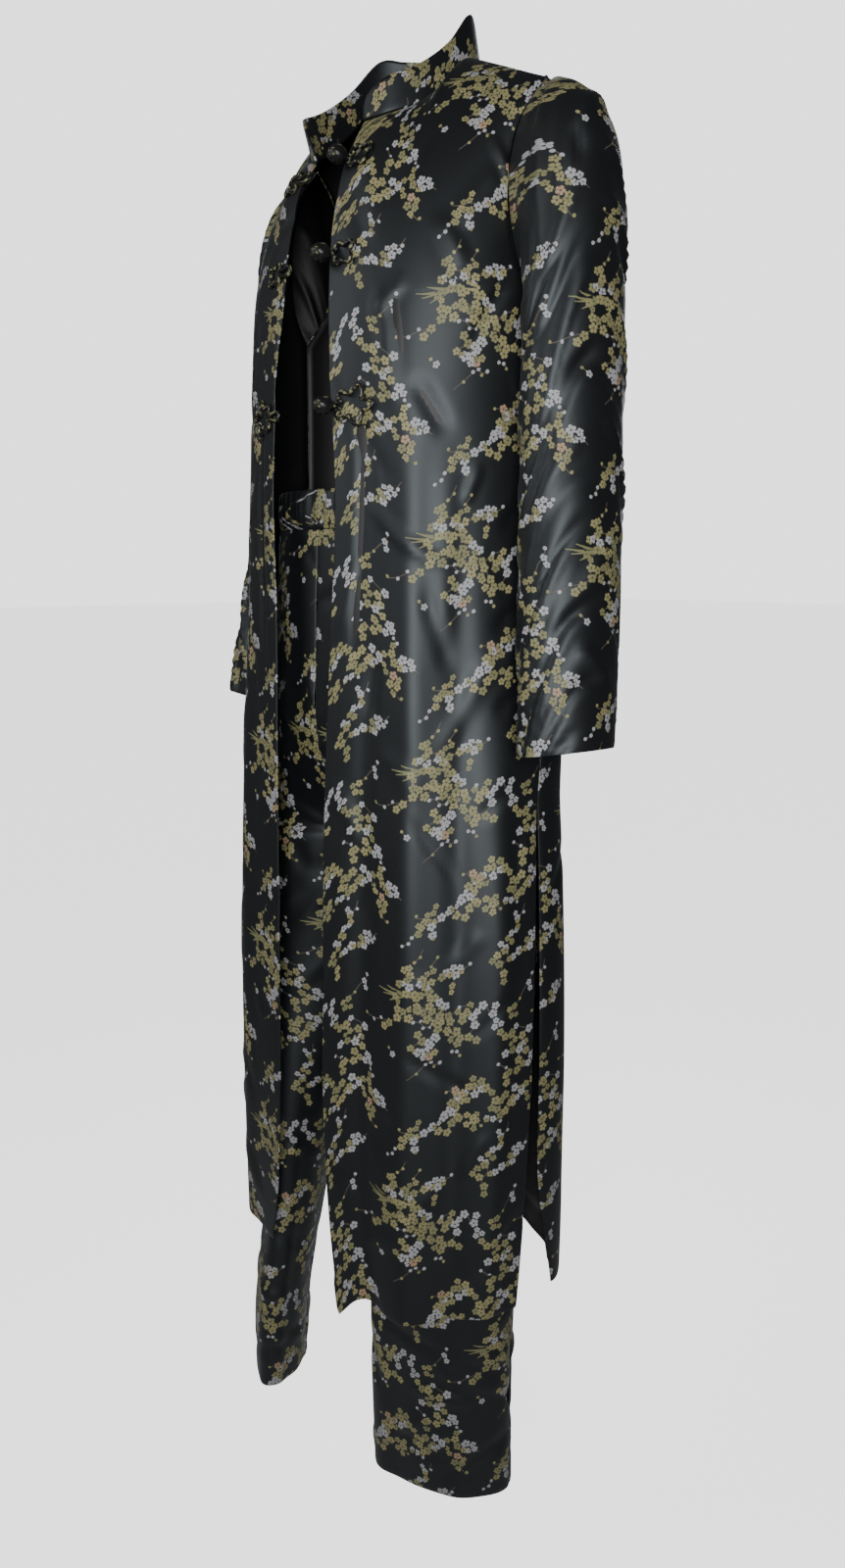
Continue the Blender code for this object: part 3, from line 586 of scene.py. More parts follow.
def stops(length, step=STEP):
    """Even shares of a length, with closer ones by both ends, where the cloth turns in."""
    n = max(int(round((length - 2 * EVEN_FROM) / step)), 2)
    middle = np.linspace(EVEN_FROM, length - EVEN_FROM, n)
    return np.concatenate([EDGE_STEPS, middle, length - EDGE_STEPS[::-1]]) / length


def turned_in(grid, side, left=0.0, right=0.0, low=0.0, high=0.0, reach=0.0022):
    """Each edge with a depth sinks by it over the last 2 mm, as cloth does where it is sewn or
    turned under."""
    cut = laid_flat(grid)
    u, v = cut[..., 0], cut[..., 1]
    sink = (left * np.exp(-(u / reach) ** 2) + right * np.exp(-((u[:, -1:] - u) / reach) ** 2)
            + low * np.exp(-(v / reach) ** 2) + high * np.exp(-((v[-1:] - v) / reach) ** 2))
    return grid - side * normals(grid) * sink[..., None]


def cloth_piece(name, grid, side, cut, looks, thickness=CLOTH, closed=False, pattern=True):
    """A sewn piece: quads over the grid, its cut as a UV map in metres, then its thickness.  A
    closed piece's last column is its first one again."""
    rows, columns = grid.shape[:2]
    index = np.arange(rows * columns).reshape(rows, columns)
    if closed:
        index = np.arange(rows * (columns - 1)).reshape(rows, columns - 1)
        index = np.concatenate([index, index[:, :1]], 1)
        points = grid[:, :-1].reshape(-1, 3)
    else:
        points = grid.reshape(-1, 3)
    place = np.arange(rows * columns).reshape(rows, columns)
    corners = [(slice(None, -1), slice(None, -1)), (slice(None, -1), slice(1, None)),
               (slice(1, None), slice(1, None)), (slice(1, None), slice(None, -1))]
    if side < 0:
        corners = corners[::-1]
    quads = np.stack([index[c] for c in corners], -1).reshape(-1, 4)
    uv = cut.reshape(-1, 2)[np.stack([place[c] for c in corners], -1).reshape(-1, 4)]
    mesh = bpy.data.meshes.new(name)
    mesh.vertices.add(len(points))
    mesh.vertices.foreach_set("co", points.astype(np.float32).ravel())
    mesh.loops.add(quads.size)
    mesh.loops.foreach_set("vertex_index", quads.astype(np.int32).ravel())
    mesh.polygons.add(len(quads))
    mesh.polygons.foreach_set("loop_start", np.arange(0, quads.size, 4, dtype=np.int32))
    mesh.update(calc_edges=True)
    mesh.uv_layers.new(name="cut").data.foreach_set("uv", uv.astype(np.float32).ravel())
    if pattern:
        figured(mesh, uv.mean(1))
    mesh.shade_smooth()
    for look in looks:
        mesh.materials.append(look)
    ob = bpy.data.objects.new("sewn_" + name, mesh)
    bpy.context.scene.collection.objects.link(ob)
    solid = ob.modifiers.new("thickness", "SOLIDIFY")
    solid.thickness = thickness
    solid.offset = 0.0
    solid.use_even_offset = False
    solid.material_offset = len(looks) - 1
    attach(ob, "root")
    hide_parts(name)
    return ob


def seat_point(side, back, z, s):
    half = along(SEAT_RINGS, "height", "half_width", z)
    reach = along(SEAT_RINGS, "height", "back" if back else "front", z)
    x, y = ring_point(half, reach, s * np.pi / 2)
    return side * x, (-y if back else y)


def leg_point(side, z, angle):
    """Leg ring point; angle 0 in front, a quarter turn at the outseam."""
    table = LEFT_LEG if side > 0 else RIGHT_LEG
    cx, cy, hw, hd, twist = (along(table, "height", k, z) for k in table[0][1:])
    u, v = ring_point(hw, hd, angle)
    u = u * side
    return cx + u * np.cos(twist) - v * np.sin(twist), cy + u * np.sin(twist) + v * np.cos(twist)


def leg_grid(side, back, z, across):
    """A front or back piece of the trousers: columns from middle seam and inseam 0 to outseam 1.
    Over the crotch the leg ring opens into the seat ring along a quarter round."""
    s = across[None, :]
    z = z[:, None] + 0 * s
    angle = (s - 0.5) * np.pi
    x, y = leg_point(side, z, np.pi - angle if back else angle)
    low = np.clip(1 - (z - CROTCH_Z) / CROTCH_DEPTH, 0, 1)
    open_share = np.sqrt(np.maximum(1 - low * low, 0))
    sx, sy = seat_point(side, back, z, s)
    x, y = x + (sx - x) * open_share, y + (sy - y) * open_share
    y = y + (1 if back else -1) * (SEAM / 2 * (1 + 0.5 * s ** 4) + TURN_SEAM / 2 * (1 - s) ** 4)
    return stack(x + side * 0.0006 * (1 - s) ** 2, y, z)


leg_across = stops(0.22)
for side, word, table in ((1, "left", LEFT_LEG), (-1, "right", RIGHT_LEG)):
    leg_z = table[1][0] + (SEAT_RINGS[-1][0] - table[1][0]) * stops(0.94)
    for back, face in ((False, "front"), (True, "back")):
        out = side * (-1 if back else 1)
        grid = folded(leg_grid(side, back, leg_z, leg_across), LEG_FOLDS, leg_across, out)
        grid = creased(grid, LEG_CREASES, out)
        grid = creased(grid, rumples(3 + 2 * back + side, 0.22, 0.93, 40, 0.5, 0.0026), out)
        grid = turned_in(grid, out, left=0.0006, right=0.0008, low=0.0005)
        cut = level_cut(grid, -1) * [out, 1.0] + [0.03 * out, 0.52 + 0.07 * back]
        piece = cloth_piece("trouser_%s_%s" % (face, word), grid, out, cut, [black_brocade])

# The waistband: a strip of the same cloth, doubled and gathered on elastic at the waist.
BAND_TOP_Z = -0.372
BAND_HEIGHT = 0.036
BAND_GATHERS = 62
BAND_COLUMNS = 641


def band_grid(turn, up):
    """A closed strip round the top of the seat rings, puckered by its elastic: the ring's reach
    swells with the cosine of the gathers, most in the middle of its height."""
    z = (BAND_TOP_Z - BAND_HEIGHT + BAND_HEIGHT * up)[:, None] + 0 * turn[None, :]
    top = SEAT_RINGS[-1]
    angle = 2 * np.pi * turn
    front, back = ring_point(top[1], top[2], angle), ring_point(top[1], top[3], angle)
    y = np.where(np.cos(angle) > 0, front[1], back[1])
    wave = np.cos(BAND_GATHERS * angle + 1.3 * np.sin(5 * angle)) * np.sin(np.pi * up)[:, None] ** 0.6
    puff = 0.0010 * wave + 0.0012 * np.sin(np.pi * up)[:, None]
    length = np.hypot(front[0], y)
    return stack(front[0] * (1 + puff / length), y * (1 + puff / length), z)


band = band_grid(np.linspace(0, 1, BAND_COLUMNS), np.linspace(SEAM / BAND_HEIGHT, 1, 13))
piece = cloth_piece("waistband", band, 1, laid_flat(band) + [0.02, 0.68], [black_brocade], closed=True)

# The coat's back: one wide piece from shoulder to hem, loose under the arms and slit at both sides.
UNDERARM_Z = -0.215
SLIT_TOP_Z = -0.600
BACK_NECK_SHARE = 0.40
HEM_BACK_Z = -1.118
BODY_RINGS = (
    ("height", "half_width", "left_front", "right_front", "back"),
    (-1.160, 0.206, 0.152, 0.146, 0.074),
    (-1.030, 0.206, 0.152, 0.150, 0.086),
    (-0.900, 0.205, 0.151, 0.151, 0.091),
    (-0.760, 0.199, 0.150, 0.149, 0.093),
    (-0.620, 0.187, 0.149, 0.145, 0.094),
    (-0.500, 0.176, 0.147, 0.141, 0.093),
    (-0.380, 0.170, 0.144, 0.137, 0.092),
    (-0.290, 0.168, 0.141, 0.133, 0.095),
    (-0.215, 0.168, 0.134, 0.127, 0.097),
)
ARMHOLE = (
    ("rise", "x", "front_y", "back_y"),
    (0.00, 0.1680, 0.000, 0.000),
    (0.12, 0.1640, -0.014, 0.016),
    (0.35, 0.1600, -0.024, 0.034),
    (0.60, 0.1580, -0.022, 0.040),
    (0.85, 0.1600, -0.006, 0.032),
    (1.00, 0.1630, 0.014, 0.014),
)
NECKLINE = (
    ("part", "x", "y", "z"),
    (0.00, 0.000, 0.060, -0.006),
    (0.18, 0.030, 0.055, -0.004),
    (0.36, 0.055, 0.040, 0.001),
    (0.50, 0.069, 0.018, 0.002),
    (0.64, 0.073, -0.012, -0.026),
    (0.78, 0.068, -0.045, -0.048),
    (0.90, 0.055, -0.070, -0.058),
    (1.00, 0.036, -0.080, -0.061),
)
SIDE_NECK = (0.069, 0.018, 0.002)
SHOULDER_TIP = (0.163, 0.014, -0.038)
SLIT = (
    ("height", "front_y", "back_y"),
    (-1.160, -0.042, 0.020),
    (-1.090, -0.036, 0.004),
    (-1.030, -0.032, -0.008),
    (-0.880, -0.024, -0.010),
    (-0.720, -0.015, -0.006),
    (-0.640, -0.008, -0.003),
    (-0.600, 0.000, 0.000),
)
BACK_FOLDS = (
    ("across", "width", "depth", "top", "bottom", "wander"),
    (-0.66, 0.080, -0.0050, -0.350, -1.300, -0.03),
    (-0.34, 0.090, 0.0060, -0.300, -1.300, 0.02),
    (-0.02, 0.080, -0.0050, -0.250, -1.300, 0.03),
    (0.30, 0.090, 0.0055, -0.320, -1.300, -0.02),
    (0.64, 0.080, -0.0045, -0.360, -1.300, 0.02),
)
BACK_CREASES = (
    ("u", "v", "to_u", "to_v", "width", "depth"),
    (-0.150, 0.860, -0.060, 0.930, 0.010, 0.0022),
    (-0.160, 0.820, -0.040, 0.880, 0.012, -0.0022),
    (0.150, 0.850, 0.070, 0.940, 0.010, 0.0022),
    (0.165, 0.800, 0.050, 0.860, 0.011, -0.0020),
    (-0.080, 0.700, -0.060, 0.480, 0.014, 0.0026),
    (0.010, 0.740, 0.020, 0.420, 0.013, -0.0024),
    (0.090, 0.680, 0.100, 0.460, 0.012, 0.0024),
    (-0.060, 1.080, 0.070, 1.085, 0.010, -0.0016),
)


def climb(t):
    """Share of the rise and share of the chest depth left, from underarm 0 to shoulder 1."""
    g = 1 - (1 - t) ** 1.6
    return g, np.maximum(1 - g * g, 0) ** 0.6


def shoulder_line(x):
    k = (np.abs(x) - SIDE_NECK[0]) / (SHOULDER_TIP[0] - SIDE_NECK[0])
    return (SIDE_NECK[1] + (SHOULDER_TIP[1] - SIDE_NECK[1]) * k,
            SIDE_NECK[2] + (SHOULDER_TIP[2] - SIDE_NECK[2]) * k)


def top_edge(s, share, from_part, to_part):
    """Neckline for s up to the share, then the shoulder seam out to the tip."""
    part = from_part + (to_part - from_part) * np.clip(s / share, 0, 1)
    nx, ny, nz = (along(NECKLINE, "part", k, part) for k in ("x", "y", "z"))
    k = np.clip((s - share) / (1 - share), 0, 1)
    sx = SIDE_NECK[0] + (SHOULDER_TIP[0] - SIDE_NECK[0]) * k
    sy, sz = shoulder_line(sx)
    return np.where(s > share, sx, nx), np.where(s > share, sy, ny), np.where(s > share, sz, nz)


def back_grid(below, above, across):
    """Middle sheet of the back; columns run from the right side -1 to the left side 1."""
    s = across[None, :]
    z = HEM_BACK_Z + (UNDERARM_Z - HEM_BACK_Z) * below[:, None] + 0 * s
    tuck = 0.005 * np.clip((SLIT_TOP_Z - z) / 0.05, 0, 1)
    half = along(BODY_RINGS, "height", "half_width", z) - tuck
    reach = along(BODY_RINGS, "height", "back", z)
    side_y = np.where(z < SLIT_TOP_Z, along(SLIT, "height", "back_y", z), 0.0) + SEAM / 2
    end = np.pi / 2 - ring_angle(side_y / reach)
    x, y = ring_point(half, reach, end * s)
    low = stack(x, -y, z)
    t = above[:, None]
    g, left_over = climb(t)
    top_x, top_y, top_z = top_edge(np.abs(across), BACK_NECK_SHARE, 0.0, 0.5)
    top_x, top_y = top_x * np.sign(across), top_y + TURN_SEAM / 2
    x = low[-1, :, 0] + (top_x - low[-1, :, 0]) * t
    y = top_y + (low[-1, :, 1] - top_y) * left_over
    z = low[-1, :, 2] + (top_z - low[-1, :, 2]) * g
    w = np.abs(s) ** 3
    edge_x = np.where(s > 0, x[:, -1:], x[:, :1])
    edge_y = np.where(s > 0, y[:, -1:], y[:, :1])
    x = x + (along(ARMHOLE, "rise", "x", g) * np.sign(s) - edge_x) * w
    y = y + (along(ARMHOLE, "rise", "back_y", g) + TURN_SEAM / 2 * g - edge_y) * w
    return np.concatenate([low, stack(x, y, z)[1:]], 0)


body_below = stops(0.90)
body_above = np.linspace(0, 1, 52)
back_across = stops(0.46) * 2 - 1
middle = len(back_across) // 2
grid = folded(back_grid(body_below, body_above, back_across), BACK_FOLDS, back_across, -1)
grid = creased(grid, BACK_CREASES, -1, middle)
grid = creased(grid, rumples(8, 0.46, 1.12, 60, 1.0, 0.0026), -1)
grid = turned_in(grid, -1, left=0.0008, right=0.0008, low=0.0005, high=0.0008)
cut = laid_flat(grid, middle) * [-1.0, 1.0] + [0.02, 0.46]
coat_back = cloth_piece("back", grid, -1, cut, [black_brocade, black_lining])

# The two fronts: each is cut from shoulder to hem with an open edge in front and a slit at the side.
NECK_SHARE = 0.52
LEFT_EDGE = (
    ("height", "x", "y"),
    (-1.160, 0.072, -0.147),
    (-1.060, 0.058, -0.148),
    (-0.960, 0.051, -0.148),
    (-0.820, 0.053, -0.148),
    (-0.600, 0.056, -0.143),
    (-0.490, 0.062, -0.140),
    (-0.380, 0.067, -0.138),
    (-0.300, 0.061, -0.136),
    (-0.215, 0.052, -0.131),
    (-0.140, 0.044, -0.117),
    (-0.100, 0.041, -0.103),
    (-0.062, 0.038, -0.080),
)
RIGHT_EDGE = (
    ("height", "x", "y"),
    (-1.160, -0.062, -0.136),
    (-1.060, -0.036, -0.144),
    (-0.960, -0.024, -0.147),
    (-0.820, -0.022, -0.146),
    (-0.600, -0.024, -0.142),
    (-0.490, -0.027, -0.138),
    (-0.380, -0.036, -0.133),
    (-0.300, -0.034, -0.130),
    (-0.215, -0.028, -0.124),
    (-0.140, -0.034, -0.108),
    (-0.100, -0.036, -0.094),
    (-0.080, -0.034, -0.080),
)
HEM_LEFT = (
    ("part", "height"),
    (0.00, -1.150),
    (0.12, -1.128),
    (0.30, -1.136),
    (0.65, -1.130),
    (1.00, -1.124),
)
HEM_RIGHT = (
    ("part", "height"),
    (0.00, -1.128),
    (0.30, -1.122),
    (0.65, -1.128),
    (1.00, -1.124),
)
LEFT_FRONT_FOLDS = (
    ("across", "width", "depth", "top", "bottom", "wander"),
    (0.20, 0.060, -0.0055, -0.330, -1.300, -0.02),
    (0.36, 0.080, 0.0060, -0.200, -1.300, 0.03),
    (0.58, 0.075, -0.0050, -0.300, -1.300, 0.04),
    (0.80, 0.070, 0.0045, -0.500, -1.300, 0.02),
)
RIGHT_FRONT_FOLDS = (
    ("across", "width", "depth", "top", "bottom", "wander"),
    (0.24, 0.070, 0.0040, -0.300, -1.300, 0.02),
    (0.50, 0.080, -0.0050, -0.350, -1.300, -0.03),
    (0.76, 0.070, 0.0050, -0.400, -1.300, 0.02),
)
FRONT_CREASES = (
    ("u", "v", "to_u", "to_v", "width", "depth"),
    (0.052, 0.930, 0.058, 0.820, 0.010, 0.0030),
    (0.030, 0.860, 0.026, 0.560, 0.009, -0.0030),
    (0.200, 0.760, 0.150, 0.715, 0.010, -0.0024),
    (0.205, 0.670, 0.150, 0.630, 0.010, -0.0024),
    (0.200, 0.590, 0.160, 0.560, 0.009, -0.0020),
    (0.110, 0.960, 0.160, 1.020, 0.012, 0.0020),
    (0.100, 0.800, 0.110, 0.600, 0.016, 0.0020),
)


def front_grid(side, below, above, across):
    """Middle sheet of a front.  Rows climb on rings from the hem to the underarm, then bend to
    the neckline and shoulder.  Columns run from the open edge 0 to side seam and armhole 1."""
    left = side > 0
    edge, hem = (LEFT_EDGE, HEM_LEFT) if left else (RIGHT_EDGE, HEM_RIGHT)
    s = across[None, :]
    hem_z = along(hem, "part", "height", across)[None, :]
    z = hem_z + (UNDERARM_Z - hem_z) * below[:, None]
    half = along(BODY_RINGS, "height", "half_width", z)
    reach = along(BODY_RINGS, "height", "left_front" if left else "right_front", z)
    side_y = np.where(z < SLIT_TOP_Z, along(SLIT, "height", "front_y", z), 0.0) - SEAM / 2
    end = np.pi / 2 - ring_angle(-side_y / reach)
    start = ring_angle(side * along(edge, "height", "x", z) / half)
    x, y = ring_point(half, reach, start + (end - start) * s)
    y = y + (along(edge, "height", "y", z) - ring_point(half, reach, start)[1]) * (1 - s) ** 3
    low = stack(side * x, y, z)
    base_x, base_y, base_z = side * low[-1, :, 0], low[-1, :, 1], low[-1, :, 2]
    t = above[:, None]
    g, left_over = climb(t)
    top_x, top_y, top_z = top_edge(across, NECK_SHARE, 1.0, 0.5)
    top_x = top_x + (side * edge[-1][1] - NECKLINE[-1][1]) * (1 - across) ** 2
    top_z = top_z + (edge[-1][0] - NECKLINE[-1][3]) * (1 - across) ** 2
    top_y = top_y - TURN_SEAM / 2
    x = base_x + (top_x - base_x) * t
    y = top_y + (base_y - top_y) * left_over
    z = base_z + (top_z - base_z) * g
    x = x + (along(ARMHOLE, "rise", "x", g) - x[:, -1:]) * s ** 3
    y = y + (along(ARMHOLE, "rise", "front_y", g) - TURN_SEAM / 2 * g - y[:, -1:]) * s ** 3
    edge_z = z[:, :1]
    x = x + (side * along(edge, "height", "x", edge_z) - x[:, :1]) * (1 - s) ** 3
    y = y + (along(edge, "height", "y", edge_z) - y[:, :1]) * (1 - s) ** 3
    return np.concatenate([low, stack(side * x, y, z)[1:]], 0)


front_across = stops(0.23)
front_middle = int(np.argmin(np.abs(front_across - 0.5)))
fronts = {}
for side, word, folds in ((1, "left", LEFT_FRONT_FOLDS), (-1, "right", RIGHT_FRONT_FOLDS)):
    grid = folded(front_grid(side, body_below, body_above, front_across), folds, front_across, side)
    grid = creased(grid, FRONT_CREASES, side)
    grid = creased(grid, rumples(20 + side, 0.23, 1.10, 44, 1.05, 0.0024), side)
    grid = turned_in(grid, side, right=0.0008, low=0.0005, high=0.0008)
    cut = laid_flat(grid, front_middle) * [side, 1.0]
    lean = 0.06 if side > 0 else 0.0
    cut[..., 0] += lean * (0.7252 - cut[..., 1]) + (0.0 if side > 0 else 0.07)
    fronts[side] = grid
    piece = cloth_piece("front_" + word, grid, side, cut, [black_brocade, black_lining])

# The lining of fronts and back: black, hung inside the outer cloth, short of the hem and the edges.
LINING = 0.0010
LINING_GAP = 0.0007
LINING_EDGE = 0.045
LINING_HEM = 0.028
LINING_TOP = 0.93
SIDE_TRIM = 0.02


def lining_of(grid, out):
    """The outer piece's points moved in."""
    return grid - out * normals(grid) * (CLOTH / 2 + LINING_GAP + LINING / 2)


lining_below = np.linspace(LINING_HEM, 1, 90)
lining_above = np.linspace(0, LINING_TOP, 22)
lining_across = np.linspace(LINING_EDGE, 1 - SIDE_TRIM / 10, 26)
for side, word, folds in ((1, "left", LEFT_FRONT_FOLDS), (-1, "right", RIGHT_FRONT_FOLDS)):
    grid = front_grid(side, lining_below, lining_above, lining_across)
    grid = creased(folded(grid, folds, lining_across, side), FRONT_CREASES, side)
    grid = lining_of(grid, side)
    piece = cloth_piece("lining_front_" + word, grid, side, laid_flat(grid), [black_lining], LINING,
                        pattern=False)
back_lining_across = np.linspace(-1 + SIDE_TRIM / 10, 1 - SIDE_TRIM / 10, 51)
grid = folded(back_grid(lining_below, lining_above, back_lining_across), BACK_FOLDS, back_lining_across, -1)
grid = lining_of(creased(grid, BACK_CREASES, -1, len(back_lining_across) // 2), -1)
piece = cloth_piece("lining_back", grid, -1, laid_flat(grid), [black_lining], LINING, pattern=False)

# The sleeves: one piece each, set into the armhole and sewn along under the arm, narrow at the cuff.
SLEEVE_OUT = 0.0012
LEFT_SLEEVE = (
    ("part", "outer_x", "outer_z", "inner_x", "inner_z", "middle_y", "half_depth"),
    (0.00, 0.163, -0.038, 0.1680, -0.215, 0.010, 0.034),
    (0.07, 0.206, -0.056, 0.1740, -0.224, 0.008, 0.043),
    (0.14, 0.232, -0.084, 0.1760, -0.236, 0.005, 0.046),
    (0.23, 0.244, -0.140, 0.1775, -0.256, 0.002, 0.047),
    (0.34, 0.249, -0.215, 0.1785, -0.290, 0.000, 0.047),
    (0.48, 0.252, -0.300, 0.1795, -0.345, -0.002, 0.047),
    (0.62, 0.256, -0.385, 0.1820, -0.410, -0.005, 0.047),
    (0.76, 0.261, -0.470, 0.1870, -0.485, -0.009, 0.047),
    (0.88, 0.266, -0.540, 0.1940, -0.548, -0.015, 0.045),
    (1.00, 0.270, -0.592, 0.2010, -0.603, -0.021, 0.044),
)
RIGHT_SLEEVE = (
    ("part", "outer_x", "outer_z", "inner_x", "inner_z", "middle_y", "half_depth"),
    (0.00, 0.163, -0.038, 0.1680, -0.215, 0.010, 0.034),
    (0.07, 0.200, -0.060, 0.1740, -0.224, 0.012, 0.043),
    (0.14, 0.222, -0.090, 0.1760, -0.236, 0.014, 0.046),
    (0.23, 0.235, -0.145, 0.1775, -0.256, 0.016, 0.046),
    (0.34, 0.243, -0.218, 0.1785, -0.290, 0.018, 0.046),
    (0.48, 0.248, -0.300, 0.1795, -0.345, 0.018, 0.046),
    (0.62, 0.254, -0.380, 0.1830, -0.405, 0.014, 0.046),
    (0.76, 0.261, -0.458, 0.1890, -0.474, 0.006, 0.045),
    (0.88, 0.267, -0.524, 0.1950, -0.535, -0.004, 0.044),
    (1.00, 0.272, -0.574, 0.2010, -0.586, -0.012, 0.043),
)
SLEEVE_CREASES = (
    ("u", "v", "to_u", "to_v", "width", "depth"),
    (0.020, 0.060, 0.110, 0.130, 0.010, 0.0030),
    (0.025, 0.100, 0.125, 0.165, 0.008, -0.0034),
    (0.020, 0.150, 0.100, 0.175, 0.009, 0.0030),
    (0.055, 0.215, 0.150, 0.175, 0.010, -0.0030),
    (0.015, 0.240, 0.080, 0.285, 0.010, 0.0032),
    (0.060, 0.300, 0.150, 0.262, 0.009, -0.0028),
    (0.010, 0.350, 0.085, 0.330, 0.009, 0.0034),
    (0.030, 0.378, 0.130, 0.410, 0.009, -0.0034),
    (0.015, 0.430, 0.100, 0.405, 0.008, 0.0034),
    (0.040, 0.450, 0.145, 0.480, 0.009, -0.0034),
    (0.015, 0.500, 0.105, 0.478, 0.008, 0.0030),
    (0.050, 0.525, 0.140, 0.540, 0.008, -0.0024),
    (0.180, 0.100, 0.260, 0.160, 0.010, 0.0030),
    (0.170, 0.190, 0.250, 0.160, 0.009, -0.0030),
    (0.180, 0.260, 0.260, 0.300, 0.010, 0.0028),
    (0.175, 0.350, 0.250, 0.320, 0.009, -0.0030),
    (0.180, 0.420, 0.260, 0.450, 0.009, 0.0030),
    (0.170, 0.500, 0.250, 0.480, 0.009, -0.0026),
)


def armhole_loop(turn):
    """Armhole edge as a loop: 0 underarm, a quarter at the front, a half at the shoulder."""
    g = 0.5 - 0.5 * np.cos(2 * np.pi * turn)
    y = np.where(turn <= 0.5, along(ARMHOLE, "rise", "front_y", g),
                 along(ARMHOLE, "rise", "back_y", g))
    return stack(along(ARMHOLE, "rise", "x", g), y,
                 UNDERARM_Z + (SHOULDER_TIP[2] - UNDERARM_Z) * g)


def sleeve_grid(side, down, turn):
    """Middle sheet of a sleeve: rows go down from the armhole, columns round from underarm."""
    table = LEFT_SLEEVE if side > 0 else RIGHT_SLEEVE
    ox, oz, ix, iz, my, hd = (along(table, "part", k, down[:, None]) for k in table[0][1:])
    c, s = np.cos(2 * np.pi * turn)[None, :], np.sin(2 * np.pi * turn)[None, :]
    k = 0.5 - 0.5 * c
    grid = stack(ix + (ox - ix) * k, my - hd * np.sign(s) * np.abs(s) ** 0.95, iz + (oz - iz) * k)
    hole = armhole_loop(turn) + np.array([SLEEVE_OUT, 0.0, 0.0])
    w = np.clip(1 - down / 0.10, 0, 1) ** 2
    grid = grid + (hole[None] - grid[:1]) * w[:, None, None]
    return grid * np.array([side, 1.0, 1.0])


sleeve_turn = np.linspace(0, 1, 61)
outer_column = len(sleeve_turn) // 2
for side, word in ((1, "left"), (-1, "right")):
    grid = sleeve_grid(side, stops(0.56), sleeve_turn)
    grid = creased(grid, SLEEVE_CREASES, -side)
    grid = creased(grid, rumples(30 + side, 0.30, 0.56, 50, 0.55, 0.0036), -side)
    grid = turned_in(grid, -side, low=0.0010, high=0.0005)
    outer = grid[:, outer_column]
    fall = np.concatenate([[0], np.cumsum(np.linalg.norm(np.diff(outer, axis=0), axis=1))])
    cut = level_cut(grid, outer_column) * [side, 1.0]
    cut[..., 1] = np.interp(-cut[..., 1], -outer[:, 2], -fall)
    cut += [0.01, 0.56]
    piece = cloth_piece("sleeve_" + word, grid, -side, cut, [black_brocade, black_lining], closed=True)

# The standing collar: a doubled strip of the brocade, stiff, rounded at its two front ends.
COLLAR_HEIGHT = 0.038
COLLAR_THICKNESS = 0.0020
COLLAR_UP = 0.0003
COLLAR_SIDE = 0.45
COLLAR_BACK_LEAN = -0.16
COLLAR_LEAN = (0.12, 0.50)
COLLAR_TAPER = (0.24, 0.00)
COLLAR_CORNER = 0.86
COLLAR_END = 0.40


def collar_grid(run, up):
    """Middle sheet of the standing collar: right front end -1, left front end 1."""
    part, right = np.abs(run), run < 0
    nx, ny, nz = (along(NECKLINE, "part", k, part) for k in ("x", "y", "z"))
    from_end = np.clip(2 * NECK_SHARE * (1 - part), 0, 1)
    x_shift = np.where(right, -RIGHT_EDGE[-1][1] - NECKLINE[-1][1], 0.0) * (1 - from_end) ** 2
    z_shift = np.where(right, RIGHT_EDGE[-1][0] - NECKLINE[-1][3], 0.0) * (1 - from_end) ** 2
    fall = np.gradient(nz) / np.hypot(np.gradient(nx * np.sign(run)), np.gradient(ny))
    base = stack((nx + x_shift) * np.sign(run), ny, nz + z_shift + COLLAR_UP * np.sqrt(1 + fall ** 2))
    away = stack(nx * np.sign(run), ny - 0.005, 0 * nx)
    away /= np.maximum(np.linalg.norm(away, axis=-1, keepdims=True), 1e-6)
    front = np.clip((part - COLLAR_SIDE) / (1 - COLLAR_SIDE), 0, 1)
    lean = COLLAR_BACK_LEAN + np.where(right, COLLAR_LEAN[1], COLLAR_LEAN[0]) * front ** 1.5
    corner = np.clip((part - COLLAR_CORNER) / (1 - COLLAR_CORNER), 0, 1)
    rise = COLLAR_HEIGHT * (COLLAR_END + (1 - COLLAR_END) * np.sqrt(1 - corner ** 2))
    rise = rise * (1 - np.where(right, COLLAR_TAPER[1], COLLAR_TAPER[0]) * front)
    u = up[:, None, None]
    return base + u * rise[None, :, None] * (np.array([0, 0, 1.0]) + lean[None, :, None] * away)


collar = collar_grid(np.linspace(-1, 1, 121), np.linspace(0, 1, 14))
collar = turned_in(collar, -1, low=0.0006, high=0.0004)
piece = cloth_piece("collar", collar, -1, laid_flat(collar) + [0.03, 0.58], [black_brocade],
                    COLLAR_THICKNESS)

# The frogs: a cord covered in flecked black satin is laid in petals on each front and sewn down;
# the left ones end in a ball knot, the right ones in a loop for it.
CORD = 0.0018
CORD_PAIR = 0.0023
CORD_LIFT = 1.08
FROG_START = 0.0028
LOOP_REACH = -0.0105
KNOT_REACH = 0.0045
LOOP_WIDTH, KNOT_WIDTH = 1.7, 1.0
PETAL_DEPTH = 0.30
BALL = 0.0088
BALL_FLAT = 0.92
BALL_SWELL = 0.08
BALL_ROUND, BALL_UP = 64, 31
BALL_OUT = (-0.20, -0.98, 0.0)
CLEAR = 0.0003
FROGS = (
    ("height", "strap", "flower", "petals"),
    (-0.098, 0.007, 0.0085, 4),
    (-0.181, 0.007, 0.0085, 4),
    (-0.307, 0.008, 0.0130, 5),
)


